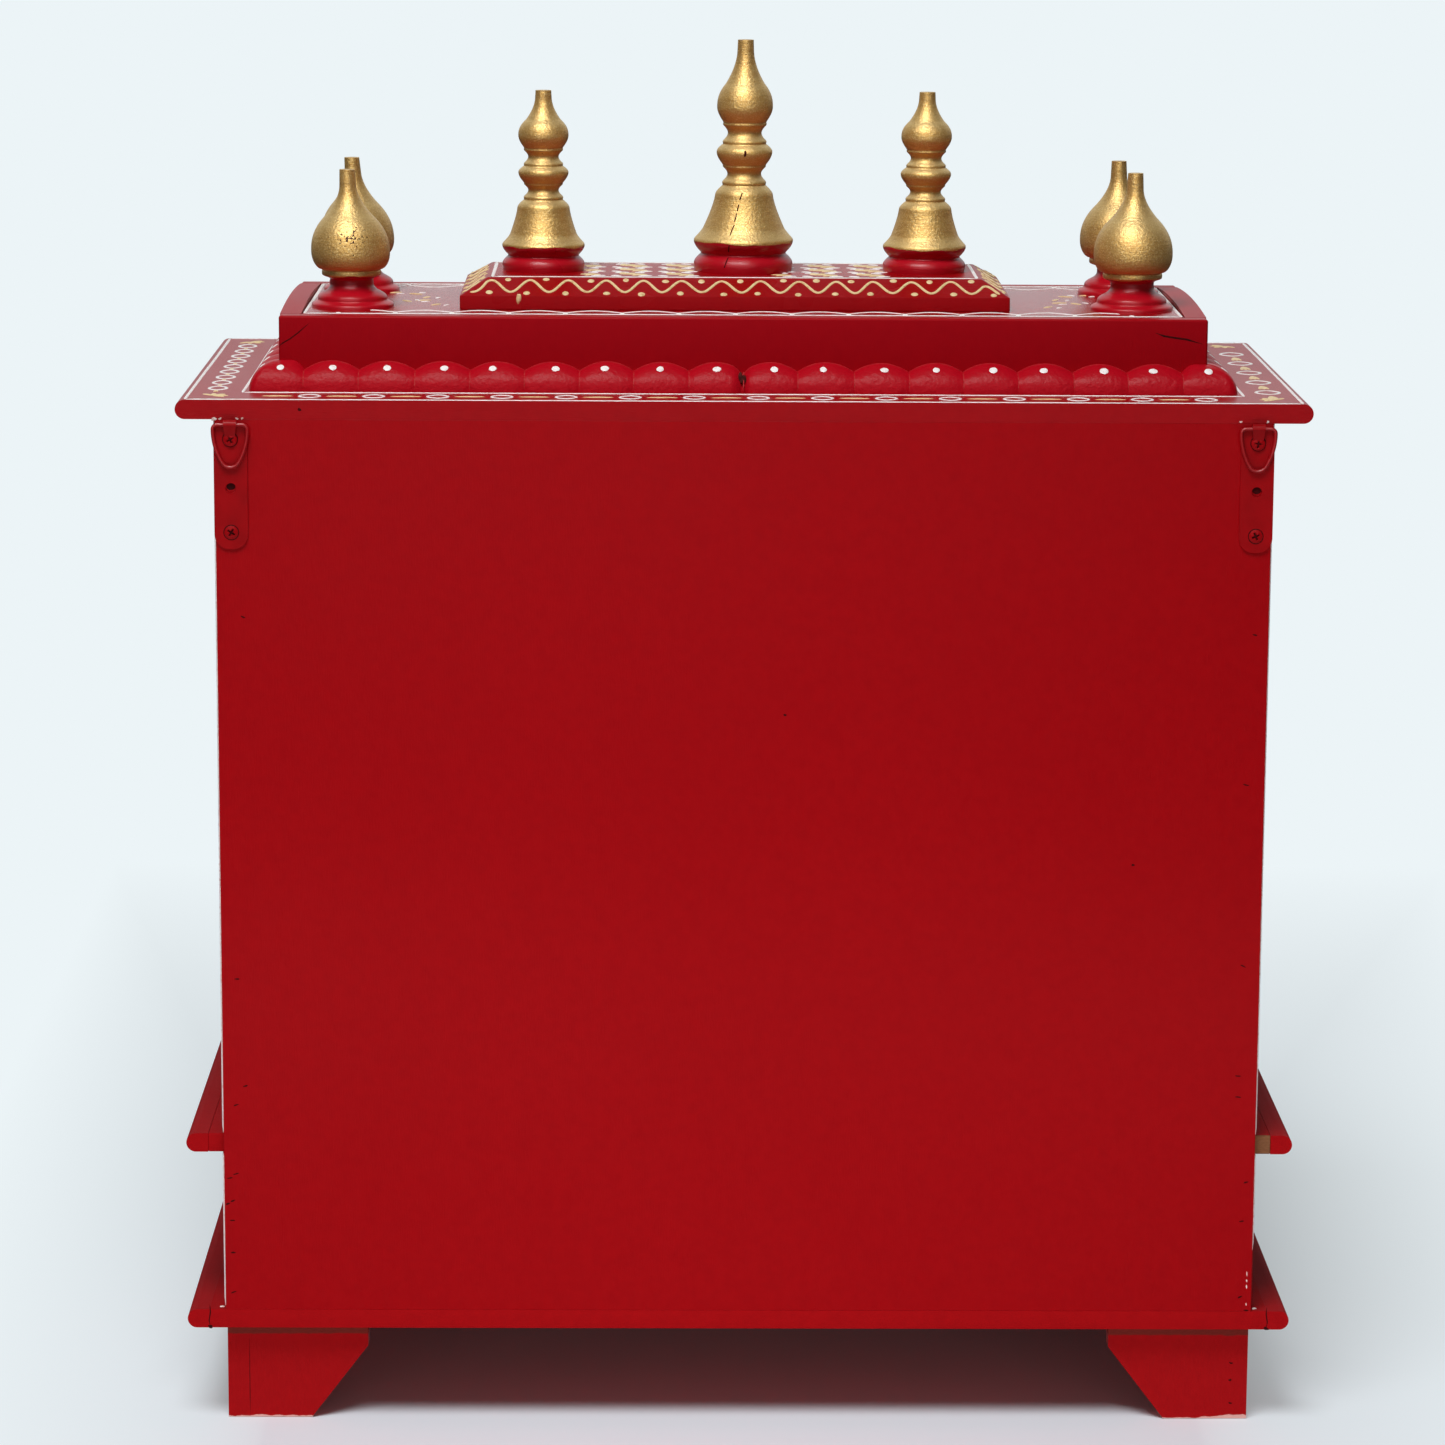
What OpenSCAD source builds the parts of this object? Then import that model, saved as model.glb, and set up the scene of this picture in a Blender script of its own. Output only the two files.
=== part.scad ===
// Wall-mounted home temple: a two-storey red cabinet on bracket feet, with a canopy of
// carved petals and turned finials. Millimetres, +Z up, the open front faces -Y.

/* [Cabinet] */
// Width over the side walls
cabinet_w = 570; // [480:5:760]
// Depth from the back of the panel to the front edges of the side walls
cabinet_d = 276; // [250:2:380]
// Clear height of the lower storey, which holds the drawers
lower_h = 88.5; // [70:0.5:140]
// Clear height of the shrine bay
upper_h = 396.5; // [320:0.5:520]
// Thickness of the side walls
wall_t = 12; // [9:0.5:18]
// Thickness of the back panel
panel_t = 6; // [4:0.5:9]
// How far the back panel stands in from the outer faces of the side walls
panel_inset = 1.2; // [0:0.1:4]

/* [Boards] */
// Thickness of the base, shelf and cornice boards
board_t = 10.5; // [8:0.5:16]
// How far the base and shelf boards stand past the walls
ledge = 8; // [4:0.5:14]
// Width of the bullnose edging strips
edging_w = 12; // [9:0.5:18]

/* [Feet] */
// Height of the feet
foot_h = 54.5; // [40:0.5:90]
// Thickness of the foot boards
foot_t = 12; // [9:0.5:16]
// Width of a foot board under the base
foot_top_w = 78; // [65:1:95]
// Width of a foot board on the floor
foot_floor_w = 46.5; // [35:0.5:60]
// Height of the upright edge above a foot's slope
foot_brow = 13; // [6:0.5:20]
// How far the feet stand in from the outer faces of the walls
foot_inset = 1.2; // [0:0.1:6]
// How far the feet stand in from the ends of the base board
foot_setback = 9; // [4:0.5:20]

/* [Drawers] */
// Thickness of the upright between the drawers
divider_t = 12; // [8:0.5:20]
// Running gap beside and above a drawer
drawer_gap = 1; // [0.5:0.1:2]
// Thickness of a drawer's front board
drawer_front_t = 12; // [9:0.5:18]
// Thickness of a drawer's sides and back
drawer_side_t = 8; // [6:0.5:12]
// Thickness of a drawer's bottom
drawer_bottom_t = 4; // [3:0.5:8]
// Depth of a drawer's box behind its front
drawer_box_d = 225; // [150:5:320]
// Diameter of the knobs
knob_d = 22; // [14:1:30]
// How far the knobs stand out of the drawers
knob_reach = 17; // [12:0.5:19]

/* [Shrine front] */
// Side of the square blocks at the ends of the posts
post_w = 30; // [22:1:40]
// Height of the blocks at the ends of the posts
post_block_h = 34; // [20:1:60]
// Thickness of the arch board
arch_t = 12; // [8:0.5:18]
// Height of the arch board
arch_h = 120; // [90:1:150]
// Solid width of the arch board on each post
arch_side = 48; // [42:1:70]
// Wood left above the middle foil
arch_crown = 18; // [10:1:30]
// Number of foils in the arch
arch_foils = 7; // [5:2:11]
// Radius of each foil
foil_r = 44; // [38:1:50]

/* [Canopy] */
// Petal moulding in from the cornice's back and side edges
petal_inset = 36.5; // [20:0.5:60]
// Petal moulding in from the cornice's front edge
petal_inset_front = 43; // [20:0.5:60]
// Height and depth of a petal
petal_r = 15.6; // [10:0.1:20]
// How far the creases between the petals lie below the petals' tops
petal_drop = 5.2; // [2:0.1:8]
// Depth of the notches that the creases leave at the petals' foot
petal_notch = 0.9; // [0.5:0.1:3]
// Number of petals along the back, and along the front
petal_count_back = 18; // [14:1:22]
// Number of petals along each side
petal_count_side = 7; // [5:1:9]
// Height of the canopy box over the cornice
canopy_h = 39.5; // [25:0.5:70]
// Thickness of the canopy boards
rim_t = 11.5; // [8:0.5:16]
// How far the middle of a side board rises above its ends
rim_crown = 2.5; // [1:0.5:5]
// Thickness of the deck
deck_t = 9; // [6:0.5:14]
// Gap between the deck and the canopy boards
deck_gap = 0.4; // [0.2:0.1:0.8]

/* [Crown block] */
// Width of the crown block
crown_w = 303; // [240:1:360]
// Depth of the crown block
crown_d = 116; // [90:1:130]
// Hand-set offset of the crown block towards +X
crown_shift = 4.4; // [-8:0.2:8]
// Height of the crown block's upright face
crown_face_h = 9.2; // [6:0.2:16]
// Run of the bevel round the crown block
crown_bevel = 15; // [8:0.5:24]
// Rise of the bevel round the crown block
crown_bevel_h = 7.4; // [4:0.2:14]

/* [Kalash finials] */
// Outer kalashes in from the ends of the crown block
kalash_inset = 44.8; // [36:0.2:56]
// Hand-set offset of the middle kalash from the crown block's middle
kalash_mid_shift = -5.2; // [-8:0.2:8]
// Height of the middle kalash
kalash_mid_h = 128.5; // [110:0.5:160]
// Height of the outer kalashes
kalash_side_h = 100; // [90:0.5:110]
// Height of the middle kalash up to the ring under its bulb
stem_mid_h = 81; // [70:0.5:85]
// Height of the outer kalashes up to the ring under their bulbs
stem_side_h = 66.5; // [58:0.5:70]
// Radius of the middle kalash's bulb
bulb_mid_r = 15.3; // [13:0.1:18]
// Radius of the outer kalashes' bulbs
bulb_side_r = 13.8; // [12:0.1:16]
// Radius of the middle kalash's bell lip
lip_mid_r = 27.4; // [24:0.1:31]
// Radius of the outer kalashes' bell lips
lip_side_r = 22.8; // [20:0.1:26]

/* [Corner finials] */
// Height of the corner finials
onion_h = 75.5; // [68:0.5:90]
// Radius of the corner finials' bulbs
onion_r = 21.7; // [19:0.1:25]
// Corner finials in from the sides of the canopy
onion_inset_x = 37.5; // [26:0.5:45]
// Corner finials in from the front and back of the canopy
onion_inset_y = 50; // [26:0.5:60]

/* [Hangers] */
// Width of a hanger's strap
hanger_w = 18; // [14:0.5:24]
// Height of a hanger's strap
hanger_h = 70; // [60:1:90]
// Thickness of the strap
hanger_t = 1.2; // [0.8:0.1:2]
// Middle of a hanger in from the cabinet's side
hanger_inset = 9.6; // [9:0.2:30]
// Width of the tongue at its fold
tongue_w = 7; // [6:0.5:11]
// Width of the tongue at its end
tongue_end_w = 4.8; // [3:0.2:6]
// Length of the tongue below the fold
tongue_h = 9; // [8.5:0.5:12]
// Diameter of the ring's wire
wire_d = 2; // [1.6:0.1:2.6]
// Width of the ring over its wire
ring_w = 20.5; // [18:0.5:26]
// Height of the ring over its wire
ring_h = 25; // [22:0.5:32]
// Radius of the ring's rounded tip, at the middle of the wire
ring_tip_r = 5; // [3:0.5:6]
// Radius of the ring's upper corners, at the middle of the wire
ring_corner_r = 2.5; // [2:0.25:4]
// Room between the wire and its fold
ring_play = 0.4; // [0.3:0.05:0.6]
// Diameter of the spare screw hole
spare_hole_d = 5.6; // [4:0.2:7]
// Spare screw hole below the top of the strap
spare_hole_drop = 37; // [32:1:45]

/* [Hidden] */

$fn = 64;
LEFT = -1;
RIGHT = 1;
CURVE_STEPS = 7;
OVER = 1;

RED = [0.62, 0.05, 0.08];
GOLD = [0.72, 0.55, 0.22];
STEEL = [0.55, 0.06, 0.08];
BARE_WOOD = [0.62, 0.47, 0.33];

// Fold of a hanger: the wire's axis stands this far out of the panel's back
fold_r = wire_d / 2 + ring_play;
pivot_out = hanger_t + fold_r;
hanger_out = pivot_out + fold_r + hanger_t;

// Plan of the boards: the cabinet is as deep as it is set, or as its drawers need
depth = max(cabinet_d, panel_t + drawer_front_t + drawer_box_d + drawer_gap);
board_x = cabinet_w / 2 + ledge;
outer_x = board_x + edging_w;
outer_d = depth + ledge + edging_w;
back_y = (outer_d - hanger_out) / 2;
wall_y = back_y - depth;
board_y = wall_y - ledge;
front_y = board_y - edging_w;
panel_y = back_y - panel_t;
wall_x = cabinet_w / 2;
inner_x = wall_x - wall_t;

// Levels
base_z = foot_h;
lower_z = base_z + board_t;
shelf_z = lower_z + lower_h;
bay_z = shelf_z + board_t;
cornice_z = bay_z + upper_h;
canopy_z = cornice_z + board_t;
deck_z = canopy_z + canopy_h;
crown_z = deck_z + crown_face_h + crown_bevel_h;
pivot_z = cornice_z - fold_r - hanger_t;

// Canopy box and the petal moulding round its foot
petal_x = outer_x - petal_inset;
petal_back_y = back_y - petal_inset;
petal_front_y = front_y + petal_inset_front;
canopy_x = petal_x - petal_r;
canopy_back_y = petal_back_y - petal_r;
canopy_front_y = petal_front_y + petal_r;
canopy_mid_y = (canopy_back_y + canopy_front_y) / 2;

// Drawers
bay_w = inner_x - divider_t / 2;
drawer_w = bay_w - 2 * drawer_gap;
drawer_h = lower_h - drawer_gap;
drawer_mid_x = divider_t / 2 + bay_w / 2;
knob_foot_r = 0.32 * knob_d;
knob_foot_h = 0.35 * knob_reach;

// A box between two corners
module block(low, high) {
    translate(low) cube(high - low);
}

// The same piece on the right as drawn, or mirrored to the left
module on_side(side) {
    mirror([side == LEFT ? 1 : 0, 0, 0]) children();
}

// Turned work: each station is [height, radius, curve], where curve says how the outline
// comes up to that station from the one below
function share(curve, t) =
    curve == "wave" ? (1 - cos(180 * t)) / 2 :
    curve == "swell" ? sin(90 * t) :
    curve == "round" ? 1 - cos(90 * t) :
    curve == "flare" ? 1 - pow(1 - t, 1.3) :
    curve == "bottle" ? (1 - cos(180 * pow(t, 0.85))) / 2 :
    t;
function outline(s) = [
    for (i = [1 : len(s) - 1])
        let (a = s[i - 1], b = s[i], n = b[2] == "line" ? 1 : CURVE_STEPS)
            for (k = [1 : n])
                [a[1] + (b[1] - a[1]) * share(b[2], k / n), a[0] + (b[0] - a[0]) * k / n]
];
module turned(s) {
    first = s[0];
    last = s[len(s) - 1];
    rotate_extrude()
        polygon(concat([[0, first[0]], [first[1], first[0]]], outline(s), [[0, last[0]]]));
}

// Outline of a foot board, measured from the outer corner of its foot
module foot_outline(from_x) {
    polygon([[from_x, 0], [foot_floor_w, 0], [foot_top_w, foot_h - foot_brow],
        [foot_top_w, foot_h], [from_x, foot_h]]);
}
module cross_foot_boards(high_y) {
    for (side = [LEFT, RIGHT])
        on_side(side)
            translate([wall_x - foot_inset, high_y, 0])
                rotate([90, 0, 0])
                    linear_extrude(foot_t)
                        mirror([1, 0]) foot_outline(foot_t);
}
module foot_boards_back() {
    color(RED) cross_foot_boards(back_y - foot_setback);
}
module foot_boards_front() {
    color(RED) cross_foot_boards(board_y + foot_setback + foot_t);
}
module foot_boards_side() {
    color(RED)
        for (side = [LEFT, RIGHT], at_back = [0, 1])
            on_side(side)
                translate([wall_x - foot_inset - foot_t,
                    at_back ? back_y - foot_setback : board_y + foot_setback, 0])
                    mirror([0, at_back, 0])
                        rotate([90, 0, 90])
                            linear_extrude(foot_t) foot_outline(0);
}

// Edging strips: square against the board, bullnosed outside, mitred at the front corners
module bullnose() {
    square([edging_w - board_t / 2, board_t]);
    translate([edging_w - board_t / 2, board_t / 2]) circle(d = board_t);
}
module side_edging(z, start_y) {
    intersection() {
        translate([board_x, start_y, z])
            rotate([90, 0, 0]) linear_extrude(start_y - front_y) bullnose();
        translate([0, 0, z - OVER])
            linear_extrude(board_t + 2 * OVER)
                polygon([[board_x - OVER, start_y + OVER], [outer_x + OVER, start_y + OVER],
                    [outer_x + OVER, front_y - OVER], [board_x - OVER, board_y + OVER]]);
    }
}
module front_edging(z) {
    intersection() {
        translate([outer_x, board_y, z])
            rotate([90, 0, -90]) linear_extrude(2 * outer_x) bullnose();
        translate([0, 0, z - OVER])
            linear_extrude(board_t + 2 * OVER)
                polygon([[board_x - OVER, board_y + OVER], [outer_x + OVER, front_y - OVER],
                    [-outer_x - OVER, front_y - OVER], [OVER - board_x, board_y + OVER]]);
    }
}

module base_board() {
    color(RED) block([-board_x, board_y, base_z], [board_x, back_y, lower_z]);
}
module base_edging_left() { color(RED) on_side(LEFT) side_edging(base_z, back_y); }
module base_edging_right() { color(RED) on_side(RIGHT) side_edging(base_z, back_y); }
module base_edging_front() { color(RED) front_edging(base_z); }

module shelf_board() {
    color(RED) block([-board_x, board_y, shelf_z], [board_x, panel_y, bay_z]);
}
module shelf_edging_left() { color(RED) on_side(LEFT) side_edging(shelf_z, panel_y); }
module shelf_edging_right() { color(RED) on_side(RIGHT) side_edging(shelf_z, panel_y); }
module shelf_edging_front() { color(RED) front_edging(shelf_z); }

module back_panel() {
    half_w = wall_x - panel_inset;
    color(RED) block([-half_w, panel_y, lower_z], [half_w, back_y, cornice_z]);
}

module wall(side, low_z, high_z) {
    on_side(side) block([inner_x, wall_y, low_z], [wall_x, panel_y, high_z]);
}
module lower_wall_left() { color(RED) wall(LEFT, lower_z, shelf_z); }
module lower_wall_right() { color(RED) wall(RIGHT, lower_z, shelf_z); }
module upper_wall_left() { color(RED) wall(LEFT, bay_z, cornice_z); }
module upper_wall_right() { color(RED) wall(RIGHT, bay_z, cornice_z); }

// Drawers, which slide on the base board
module drawer_divider() {
    color(RED)
        block([-divider_t / 2, wall_y, lower_z], [divider_t / 2, panel_y, shelf_z]);
}
module drawer_front(side) {
    on_side(side)
        block([drawer_mid_x - drawer_w / 2, wall_y, lower_z],
            [drawer_mid_x + drawer_w / 2, wall_y + drawer_front_t, lower_z + drawer_h]);
}
module drawer_front_left() { color(RED) drawer_front(LEFT); }
module drawer_front_right() { color(RED) drawer_front(RIGHT); }
module drawer_box(side) {
    box_y = wall_y + drawer_front_t;
    half_w = drawer_w / 2;
    on_side(side)
        translate([drawer_mid_x, box_y, lower_z])
            difference() {
                block([-half_w, 0, 0], [half_w, drawer_box_d, drawer_h]);
                block([drawer_side_t - half_w, -OVER, drawer_bottom_t],
                    [half_w - drawer_side_t, drawer_box_d - drawer_side_t, drawer_h + OVER]);
            }
}
module drawer_box_left() { color(BARE_WOOD) drawer_box(LEFT); }
module drawer_box_right() { color(BARE_WOOD) drawer_box(RIGHT); }
module drawer_knobs() {
    color(GOLD)
        for (side = [LEFT, RIGHT])
            translate([side * drawer_mid_x, wall_y, lower_z + drawer_h / 2])
                rotate([90, 0, 0])
                    turned([[0, knob_foot_r, "line"], [knob_foot_h / 3, knob_foot_r, "line"],
                        [knob_foot_h, 0.7 * knob_foot_r, "swell"],
                        [0.68 * knob_reach, knob_d / 2, "wave"],
                        [0.8 * knob_reach, knob_d / 2, "line"],
                        [knob_reach, 0.35 * knob_d, "round"]]);
}

// Turned posts stand on the shelf and carry the arch board; the turning runs on into the blocks
post_h = upper_h - arch_h;
post_x = inner_x - post_w / 2;
post_y = wall_y + post_w / 2;
module front_post(side) {
    shaft_r = 0.36 * post_w;
    ring_r = 0.47 * post_w;
    neck_r = 0.28 * post_w;
    foot_top = post_block_h + 0.5 * post_w;
    head_low = post_h - post_block_h - 0.5 * post_w;
    translate([side * post_x, post_y, bay_z]) {
        block([-post_w / 2, -post_w / 2, 0], [post_w / 2, post_w / 2, post_block_h]);
        block([-post_w / 2, -post_w / 2, post_h - post_block_h],
            [post_w / 2, post_w / 2, post_h]);
        turned([[post_block_h - OVER, neck_r, "line"],
            [post_block_h, neck_r, "line"],
            [post_block_h + 0.25 * post_w, ring_r, "wave"],
            [foot_top, neck_r, "wave"],
            [post_h / 2, shaft_r, "wave"],
            [head_low, neck_r, "wave"],
            [head_low + 0.25 * post_w, ring_r, "wave"],
            [post_h - post_block_h, neck_r, "wave"],
            [post_h - post_block_h + OVER, neck_r, "line"]]);
    }
}
module front_post_left() { color(RED) front_post(LEFT); }
module front_post_right() { color(RED) front_post(RIGHT); }

// Cusped arch: foils at even steps along a flat arc, cut from the board
arch_z = cornice_z - arch_h;
arch_reach = inner_x - arch_side - foil_r;
arch_rise = arch_h - arch_crown - foil_r;
arch_arc_r = (arch_reach * arch_reach + arch_rise * arch_rise) / (2 * arch_rise);
arch_half = asin(arch_reach / arch_arc_r);
foil_at = [for (i = [0 : arch_foils - 1])
    let (a = arch_half * (2 * i / (arch_foils - 1) - 1))
        [arch_arc_r * sin(a), arch_rise - arch_arc_r * (1 - cos(a))]];
module front_arch() {
    color(RED)
        translate([0, wall_y + arch_t, arch_z])
            rotate([90, 0, 0])
                linear_extrude(arch_t)
                    difference() {
                        translate([-inner_x, 0]) square([2 * inner_x, arch_h]);
                        polygon(concat([[-arch_reach, -OVER]], foil_at, [[arch_reach, -OVER]]));
                        for (p = foil_at) translate(p) circle(foil_r);
                    }
}

// Cornice board: bullnosed at the sides and the front, square at the back
module cornice_board() {
    nose = board_t / 2;
    color(RED)
        translate([0, 0, cornice_z])
            intersection() {
                translate([0, back_y + OVER, 0])
                    rotate([90, 0, 0])
                        linear_extrude(outer_d + 2 * OVER) {
                            translate([nose - outer_x, 0])
                                square([2 * (outer_x - nose), board_t]);
                            for (side = [LEFT, RIGHT])
                                translate([side * (outer_x - nose), nose]) circle(nose);
                        }
                translate([-outer_x - OVER, 0, 0])
                    rotate([90, 0, 90])
                        linear_extrude(2 * (outer_x + OVER)) {
                            translate([front_y + nose, 0]) square([outer_d - nose, board_t]);
                            translate([front_y + nose, nose]) circle(nose);
                        }
            }
}

// Petal moulding: a quarter-round strip, mitred at both ends and cut to scallops at a slant, so
// that the creases all but die out at its straight foot. The row starts at the origin and runs
// along +X, its foot towards +Y.
PETAL_LAP = 0.5;
PETAL_SPARE = 0.3;
petal_crease_h = petal_r - petal_drop;
petal_slant = atan2(petal_r - petal_notch, petal_crease_h);
module petal_row(row_len, count) {
    intersection() {
        rotate([90, 0, 90])
            linear_extrude(row_len)
                intersection() {
                    circle(petal_r);
                    square(petal_r);
                }
        translate([0, 0, -OVER])
            linear_extrude(petal_r + 2 * OVER)
                polygon([[-OVER, petal_r + OVER], [row_len + OVER, petal_r + OVER],
                    [row_len - petal_r - OVER, -OVER], [petal_r + OVER, -OVER]]);
        rotate([petal_slant, 0, 0])
            translate([0, 0, -2 * petal_r])
                linear_extrude(4 * petal_r) scallops(row_len / count, count);
    }
}
// Arcs side by side, seen along the creases: they meet at the creases and clear the strip's top
module scallops(pitch, count) {
    crease = petal_crease_h * sin(petal_slant);
    swell = petal_r - crease + PETAL_SPARE;
    arc_r = (pitch * pitch / 4 + swell * swell) / (2 * swell);
    for (i = [0 : count - 1])
        translate([pitch * (i + 0.5), 0])
            intersection() {
                translate([-pitch / 2 - PETAL_LAP, -petal_r])
                    square([pitch + 2 * PETAL_LAP, 3 * petal_r]);
                translate([0, crease + swell - arc_r]) circle(arc_r);
            }
    // The outer half of each end petal keeps its full height up to the mitre
    for (x = [-PETAL_LAP, pitch * (count - 0.5)])
        translate([x, -petal_r]) square([pitch / 2 + PETAL_LAP, 3 * petal_r]);
}
module petals_back() {
    color(RED)
        translate([-petal_x, canopy_back_y, canopy_z]) petal_row(2 * petal_x, petal_count_back);
}
module petals_front() {
    color(RED)
        translate([-petal_x, canopy_front_y, canopy_z])
            mirror([0, 1, 0]) petal_row(2 * petal_x, petal_count_back);
}
module petals_of(side) {
    on_side(side)
        translate([canopy_x, petal_back_y, canopy_z])
            rotate([0, 0, -90]) petal_row(petal_back_y - petal_front_y, petal_count_side);
}
module petals_left() { color(RED) petals_of(LEFT); }
module petals_right() { color(RED) petals_of(RIGHT); }

// Canopy box: long boards at the back and front, side boards with a crowned top edge
module canopy_long(y) {
    block([-canopy_x, y, canopy_z], [canopy_x, y + rim_t, deck_z]);
}
module canopy_board_back() { color(RED) canopy_long(canopy_back_y - rim_t); }
module canopy_board_front() { color(RED) canopy_long(canopy_front_y); }
module canopy_side(side) {
    span = canopy_back_y - canopy_front_y - 2 * rim_t;
    arc_r = (span * span / 4 + rim_crown * rim_crown) / (2 * rim_crown);
    on_side(side)
        translate([canopy_x - rim_t, canopy_mid_y, canopy_z])
            rotate([90, 0, 90])
                linear_extrude(rim_t) {
                    translate([-span / 2, 0]) square([span, canopy_h]);
                    intersection() {
                        translate([-span / 2, canopy_h - OVER]) square([span, rim_crown + OVER]);
                        translate([0, canopy_h + rim_crown - arc_r]) circle(arc_r, $fn = 256);
                    }
                }
}
module canopy_board_left() { color(RED) canopy_side(LEFT); }
module canopy_board_right() { color(RED) canopy_side(RIGHT); }
module canopy_deck() {
    edge = rim_t + deck_gap;
    color(RED)
        block([edge - canopy_x, canopy_front_y + edge, deck_z - deck_t],
            [canopy_x - edge, canopy_back_y - edge, deck_z]);
}

// Crown block: the bevels of two crossing prisms meet at the mitres
module bevelled(width) {
    polygon([[-width / 2, 0], [width / 2, 0], [width / 2, crown_face_h],
        [width / 2 - crown_bevel, crown_face_h + crown_bevel_h],
        [crown_bevel - width / 2, crown_face_h + crown_bevel_h], [-width / 2, crown_face_h]]);
}
module crown_block() {
    color(RED)
        translate([crown_shift, canopy_mid_y, deck_z])
            intersection() {
                translate([0, crown_d / 2, 0])
                    rotate([90, 0, 0]) linear_extrude(crown_d) bevelled(crown_w);
                translate([-crown_w / 2, 0, 0])
                    rotate([90, 0, 90]) linear_extrude(crown_w) bevelled(crown_d);
            }
}

// Corner finials: an onion bulb on a neck and two rounded discs
ONION_FOOT_H = 18.6;
ONION_RING_H = 1.6;
ONION_BULB_H = 32.4;
ONION_TIP_H = 4;
ONION_TIP_R = 4.2;
module onion(side, y) {
    foot_r = 1.05 * onion_r;
    disc_r = 0.885 * onion_r;
    neck_r = 0.55 * onion_r;
    ring_r = 0.757 * onion_r;
    ring_top = ONION_FOOT_H + ONION_RING_H;
    translate([side * (canopy_x - onion_inset_x), y, deck_z])
        turned([[0, foot_r, "line"], [1.6, foot_r, "line"], [3.8, disc_r, "round"],
            [5.4, disc_r, "line"], [9.6, 0.64 * onion_r, "round"], [12.6, neck_r, "swell"],
            [ONION_FOOT_H - 3.2, neck_r, "line"],
            [ONION_FOOT_H - 0.4, 0.94 * ring_r, "round"], [ONION_FOOT_H, ring_r, "line"],
            [ring_top, ring_r, "line"], [ring_top + 0.4, 0.96 * ring_r, "line"],
            [ONION_BULB_H, onion_r, "swell"], [onion_h - ONION_TIP_H, ONION_TIP_R, "bottle"],
            [onion_h, ONION_TIP_R, "line"]]);
}
onion_back_y = canopy_back_y - onion_inset_y;
onion_front_y = canopy_front_y + onion_inset_y;
module onion_back_left() { color(GOLD) onion(LEFT, onion_back_y); }
module onion_back_right() { color(GOLD) onion(RIGHT, onion_back_y); }
module onion_front_left() { color(GOLD) onion(LEFT, onion_front_y); }
module onion_front_right() { color(GOLD) onion(RIGHT, onion_front_y); }

// Kalash finials: foot, bell, two collared necks, bead, bulb and spout, turned as one piece
KALASH_TIP_H = 6;
KALASH_TIP_R = 4.4;
kalash_pitch = crown_w / 2 - kalash_inset;
module kalash(x, full_h, stem_h, bulb_r, lip_r) {
    waist_r = 0.857 * lip_r;
    neck_r = 0.615 * bulb_r;
    collar_r = 0.805 * bulb_r;
    groove_r = 0.77 * bulb_r;
    translate([x, canopy_mid_y, crown_z])
        turned([[0, 0.99 * lip_r, "line"], [0.055 * stem_h, 1.012 * lip_r, "swell"],
            [0.125 * stem_h, waist_r, "round"], [0.2136 * stem_h, 1.018 * lip_r, "swell"],
            [0.226 * stem_h, 1.005 * lip_r, "line"], [0.311 * stem_h, 0.813 * lip_r, "flare"],
            [0.5185 * stem_h, 1.065 * bulb_r, "flare"], [0.594 * stem_h, groove_r, "round"],
            [0.599 * stem_h, collar_r, "line"], [0.617 * stem_h, collar_r, "line"],
            [0.67 * stem_h, neck_r, "swell"], [0.715 * stem_h, groove_r, "round"],
            [0.72 * stem_h, collar_r, "line"], [0.727 * stem_h, groove_r, "line"],
            [0.821 * stem_h, bulb_r, "swell"], [0.877 * stem_h, groove_r, "round"],
            [0.881 * stem_h, collar_r, "line"], [0.895 * stem_h, collar_r, "line"],
            [0.95 * stem_h, neck_r, "swell"], [stem_h, groove_r, "round"],
            [1.006 * stem_h, collar_r, "line"], [1.016 * stem_h, collar_r, "line"],
            [1.02 * stem_h, groove_r, "line"], [1.13 * stem_h, bulb_r, "swell"],
            [full_h - KALASH_TIP_H, KALASH_TIP_R, "bottle"], [full_h, KALASH_TIP_R, "line"]]);
}
module kalash_left() {
    color(GOLD)
        kalash(crown_shift - kalash_pitch, kalash_side_h, stem_side_h, bulb_side_r, lip_side_r);
}
module kalash_middle() {
    color(GOLD)
        kalash(crown_shift + kalash_mid_shift, kalash_mid_h, stem_mid_h, bulb_mid_r, lip_mid_r);
}
module kalash_right() {
    color(GOLD)
        kalash(crown_shift + kalash_pitch, kalash_side_h, stem_side_h, bulb_side_r, lip_side_r);
}

// Hangers: a steel strap whose narrowed end folds over the ring's bar and down under the
// upper screw. Drawn round the ring's axis, +Y out of the panel.
hanger_x = wall_x - hanger_inset;
// Share of the tongue that slopes back to the strap
TONGUE_SLOPE = 0.75;
module at_hanger(side) {
    translate([side * hanger_x, back_y + pivot_out, pivot_z]) children();
}
module strap_outline() {
    top = fold_r + hanger_t;
    foot_r = 0.45 * hanger_w;
    low = top - hanger_h;
    translate([-hanger_w / 2, low + foot_r]) square([hanger_w, hanger_h - top - foot_r]);
    translate([foot_r - hanger_w / 2, low]) square([hanger_w - 2 * foot_r, foot_r + OVER]);
    for (side = [LEFT, RIGHT])
        translate([side * (hanger_w / 2 - foot_r), low + foot_r]) circle(foot_r);
}
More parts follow.
